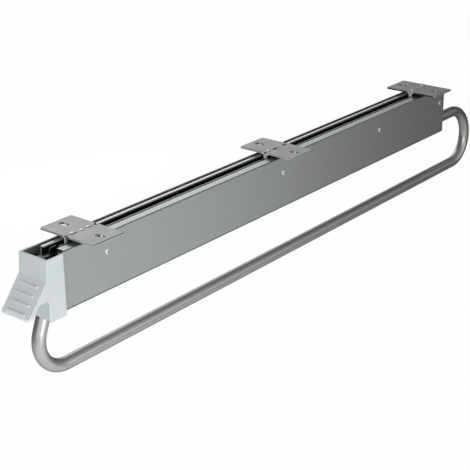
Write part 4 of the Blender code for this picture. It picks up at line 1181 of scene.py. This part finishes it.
def tubePath():
    low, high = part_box("hanging_tube")
    radius = tube["radius"]
    bend = tube["bend"]
    frontRun = low.z + radius
    rearRun = frontRun + tube["frontSag"]
    upperRun = high.z - radius
    rear = high.x - radius
    lean = socket["lean"]
    mouth = Vector(socket["mouth"])
    bendTop = frontRun + bend * (1 + math.sin(lean))
    bendStart = mouth - socketAxis() * (mouth.z - bendTop) / math.cos(lean)
    path = [mouth + socketAxis() * socket["depth"], mouth]
    frontCentre = (bendStart.x + bend * math.cos(lean), frontRun + bend)
    path += arcSpots(frontCentre, bend, math.pi - lean, 1.5 * math.pi)
    runStart = path[-1]
    runEnd = Vector((rear - bend, 0, rearRun))
    path += [runStart.lerp(runEnd, part / tube["runSteps"]) for part in range(1, tube["runSteps"])]
    path += arcSpots((rear - bend, rearRun + bend), bend, -0.5 * math.pi, 0)
    upperBend = upperRun - rearRun - bend
    path += arcSpots((rear - upperBend, upperRun - upperBend), upperBend, 0, 0.5 * math.pi)[1:]
    path.append(Vector((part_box("housing")[1].x - tube["insert"], 0, upperRun)))
    return path


# sweeps a ring along the path; the ring's seam is closed once each corner has its place along the tube
def makeTubeTree():
    tree, size = geometryTree("bentTube", [("Radius", "Float", 0.005), ("Sides", "Int", 49)])
    line = addNode(tree, "GeometryNodeMeshToCurve", {"Mesh": size["Geometry"]})["Curve"]
    ring = addNode(tree, "GeometryNodeCurveArc", {
        "Radius": size["Radius"], "Resolution": size["Sides"], "Sweep Angle": 2 * math.pi})["Curve"]
    marked = []
    for curve in (line, ring):
        along = addNode(tree, "GeometryNodeSplineParameter", {})["Length"]
        mark = tree.nodes.new("GeometryNodeCaptureAttribute")
        mark.capture_items.new("FLOAT", "Length")
        marked.append(setInputs(tree, mark, {"Geometry": curve, "Length": along}))
    sweep = addNode(tree, "GeometryNodeCurveToMesh", {
        "Curve": marked[0]["Geometry"], "Profile Curve": marked[1]["Geometry"]})["Mesh"]
    spots = vectorNode(tree, X=marked[0]["Length"], Y=marked[1]["Length"])
    store = addNode(tree, "GeometryNodeStoreNamedAttribute", {
        "Geometry": sweep, "Name": "along", "Value": spots}, data_type="FLOAT2", domain="CORNER")["Geometry"]
    close = addNode(tree, "GeometryNodeMergeByDistance", {"Geometry": store, "Distance": tube["seamGap"]})
    return endTree(tree, size, close["Geometry"])


def makeTube():
    path = tubePath()
    mesh = bpy.data.meshes.new("hangingTube")
    links = [(index, index + 1) for index in range(len(path) - 1)]
    mesh.from_pydata([tuple(spot) for spot in path], links, [])
    piece = linkPiece("hangingTube", mesh)
    sizes = {"Radius": tube["radius"], "Sides": tube["sides"] + 1, "Finish": tubeSteel}
    setTree(piece, makeTubeTree(), sizes)
    wall = piece.modifiers.new("wall", "SOLIDIFY")
    wall.thickness = tube["wall"]
    wall.offset = -1
    settlePiece(piece, 40)
    dressPiece(piece, tubeSteel, "tube", "pull_out", "hanging_tube")


makeTube()
print("tube made")


# Stage: pale floor, soft studio light and the camera
studio = {"floorZ": -0.30, "floorReach": 4.0, "floorGlow": 0.985, "paper": 0.86,
          "poolCentre": (-0.4, -0.5), "poolFrom": 0.1, "poolTo": 1.45, "poolLevel": 0.62, "poolEdge": 0.05,
          "poolFill": 0.45, "roomLevel": 0.07,
          "boxLevel": 0.78, "boxFill": 0.05, "boxFrom": 0.55, "boxTo": 0.88, "boxEdge": 0.04,
          "boxLow": 0.0, "boxHigh": 0.8, "boxTop": 0.15, "boxSide": (-0.2, 0.15),
          "backdropLevel": 1.0, "backdropFill": 0.5, "backdropFrom": 0.36, "backdropTo": 0.65,
          "backdropSide": (-0.25, 0.35)}
lamps = [
    {"name": "sideSoftbox", "place": (-0.18, -0.363, -0.02), "aim": (-0.18, 0, -0.03),
     "size": (0.26, 0.26), "power": 0.88, "inMetal": False},
    {"name": "glintSoftbox", "place": (-0.32, -0.44, -0.02), "aim": (-0.26, 0, -0.04),
     "size": (0.3, 0.3), "power": 0.5, "inMetal": True},
    {"name": "frontSoftbox", "place": (-0.8, 0.1, 0.6), "aim": (-0.26, 0, -0.03),
     "size": (0.5, 0.5), "power": 4.5, "inMetal": False},
    {"name": "lowFill", "place": (-0.36, -0.03, -0.115), "aim": (-0.264, 0, -0.045),
     "size": (0.05, 0.05), "power": 0.1, "inMetal": False},
    {"name": "farSoftbox", "place": (0.35, 0.85, -0.1), "aim": (0.05, 0, -0.03),
     "size": (0.6, 0.3), "power": 3.2, "inMetal": False},
]
camera = {"place": (-0.76395, -0.58215, 0.3232), "azimuth": 50.61, "elevation": 22.61, "roll": -0.71,
          "lens": 94.78, "sensor": 36, "nearest": 0.05}


# white to the lens, with the object's shadow; to other rays a pool of light that fades outwards
def makePaper():
    material, tree = newMaterial("studioPaper")
    tree.nodes.remove(tree.nodes["Principled BSDF"])
    rays = addNode(tree, "ShaderNodeLightPath", {})
    spots = addNode(tree, "ShaderNodeTexCoord", {})["Object"]
    centre = (*studio["poolCentre"], studio["floorZ"])
    away = addNode(tree, "ShaderNodeVectorMath", {0: spots, 1: centre}, operation="DISTANCE")["Value"]
    pool = fadeNode(tree, away, studio["poolFrom"], studio["poolTo"], studio["poolLevel"], studio["poolEdge"])
    fill = fadeNode(tree, rays["Is Diffuse Ray"], 0.0, 1.0, 1.0, studio["poolFill"])
    level = mathNode(tree, "MAXIMUM", mathNode(tree, "MULTIPLY", pool, fill), rays["Is Camera Ray"])
    glow = addNode(tree, "ShaderNodeEmission", {"Strength": level})["Emission"]
    paper = addNode(tree, "ShaderNodeBsdfDiffuse", {"Color": (*[studio["paper"]] * 3, 1)})["BSDF"]
    mix = addNode(tree, "ShaderNodeMixShader", {"Fac": studio["floorGlow"], 1: paper, 2: glow})["Shader"]
    setInputs(tree, tree.nodes["Material Output"], {"Surface": mix})
    return material


def makeFloor():
    reach = studio["floorReach"]
    corners = [(-reach, -reach), (reach, -reach), (reach, reach), (-reach, reach)]
    mesh = bpy.data.meshes.new("studioFloor")
    mesh.from_pydata([(x, y, studio["floorZ"]) for x, y in corners], [], [(0, 1, 2, 3)])
    floor = linkPiece("studioFloor", mesh)
    floor.data.materials.append(makePaper())


# a dim room with a broad soft light on the near side, and a pale backdrop on the far side
# that metal shows in full
def makeWorld():
    world = bpy.data.worlds.new("studioRoom")
    world.use_nodes = True
    tree = world.node_tree
    direction = addNode(tree, "ShaderNodeTexCoord", {})["Generated"]
    toward = addNode(tree, "ShaderNodeSeparateXYZ", {"Vector": direction})
    rays = addNode(tree, "ShaderNodeLightPath", {})
    mirrored = mathNode(tree, "MAXIMUM", rays["Is Glossy Ray"], rays["Is Transmission Ray"])
    lights = {
        "backdrop": [fadeNode(tree, toward["Y"], studio["backdropFrom"], studio["backdropTo"], 0.0, 1.0),
                     fadeNode(tree, toward["X"], *studio["backdropSide"], 0.0, 1.0)],
        "box": [fadeNode(tree, toward["X"], studio["boxFrom"], studio["boxTo"], 1.0, studio["boxEdge"]),
                fadeNode(tree, toward["Z"], studio["boxLow"], studio["boxHigh"], 1.0, studio["boxTop"]),
                fadeNode(tree, toward["Y"], *studio["boxSide"], 1.0, 0.0)],
    }
    level = studio["roomLevel"]
    for kind, fades in lights.items():
        light = fadeNode(tree, mirrored, 0.0, 1.0, studio[kind + "Fill"], studio[kind + "Level"])
        for fade in fades:
            light = mathNode(tree, "MULTIPLY", light, fade)
        level = mathNode(tree, "ADD", level, light)
    seen = mathNode(tree, "MAXIMUM", rays["Is Camera Ray"], level)
    setInputs(tree, tree.nodes["Background"], {"Color": (1, 1, 1, 1), "Strength": seen})
    bpy.context.scene.world = world


def makeLamps():
    for entry in lamps:
        data = bpy.data.lights.new(entry["name"], "AREA")
        data.shape = "RECTANGLE"
        data.size, data.size_y = entry["size"]
        data.energy = entry["power"]
        lamp = bpy.data.objects.new(entry["name"], data)
        lamp.location = entry["place"]
        toward = Vector(entry["aim"]) - Vector(entry["place"])
        lamp.rotation_euler = toward.to_track_quat("-Z", "Y").to_euler()
        lamp.visible_camera = False
        lamp.visible_glossy = entry["inMetal"]
        bpy.context.scene.collection.objects.link(lamp)


def makeCamera():
    azimuth = math.radians(camera["azimuth"])
    elevation = math.radians(camera["elevation"])
    roll = math.radians(camera["roll"])
    level = math.cos(elevation)
    ahead = Vector((math.sin(azimuth) * level, math.cos(azimuth) * level, -math.sin(elevation)))
    right = Vector((math.cos(azimuth), -math.sin(azimuth), 0))
    up = right.cross(ahead)
    turnedRight = math.cos(roll) * right + math.sin(roll) * up
    turnedUp = math.cos(roll) * up - math.sin(roll) * right
    data = bpy.data.cameras.new("photoCamera")
    data.lens = camera["lens"]
    data.sensor_width = camera["sensor"]
    data.clip_start = camera["nearest"]
    view = bpy.data.objects.new("photoCamera", data)
    place = Matrix((turnedRight, turnedUp, -ahead)).transposed().to_4x4()
    place.translation = camera["place"]
    view.matrix_world = place
    bpy.context.scene.collection.objects.link(view)
    bpy.context.scene.camera = view


makeFloor()
makeWorld()
makeLamps()
makeCamera()
bpy.context.scene.view_settings.view_transform = "Standard"
print("stage made")

bpy.context.view_layer.update()
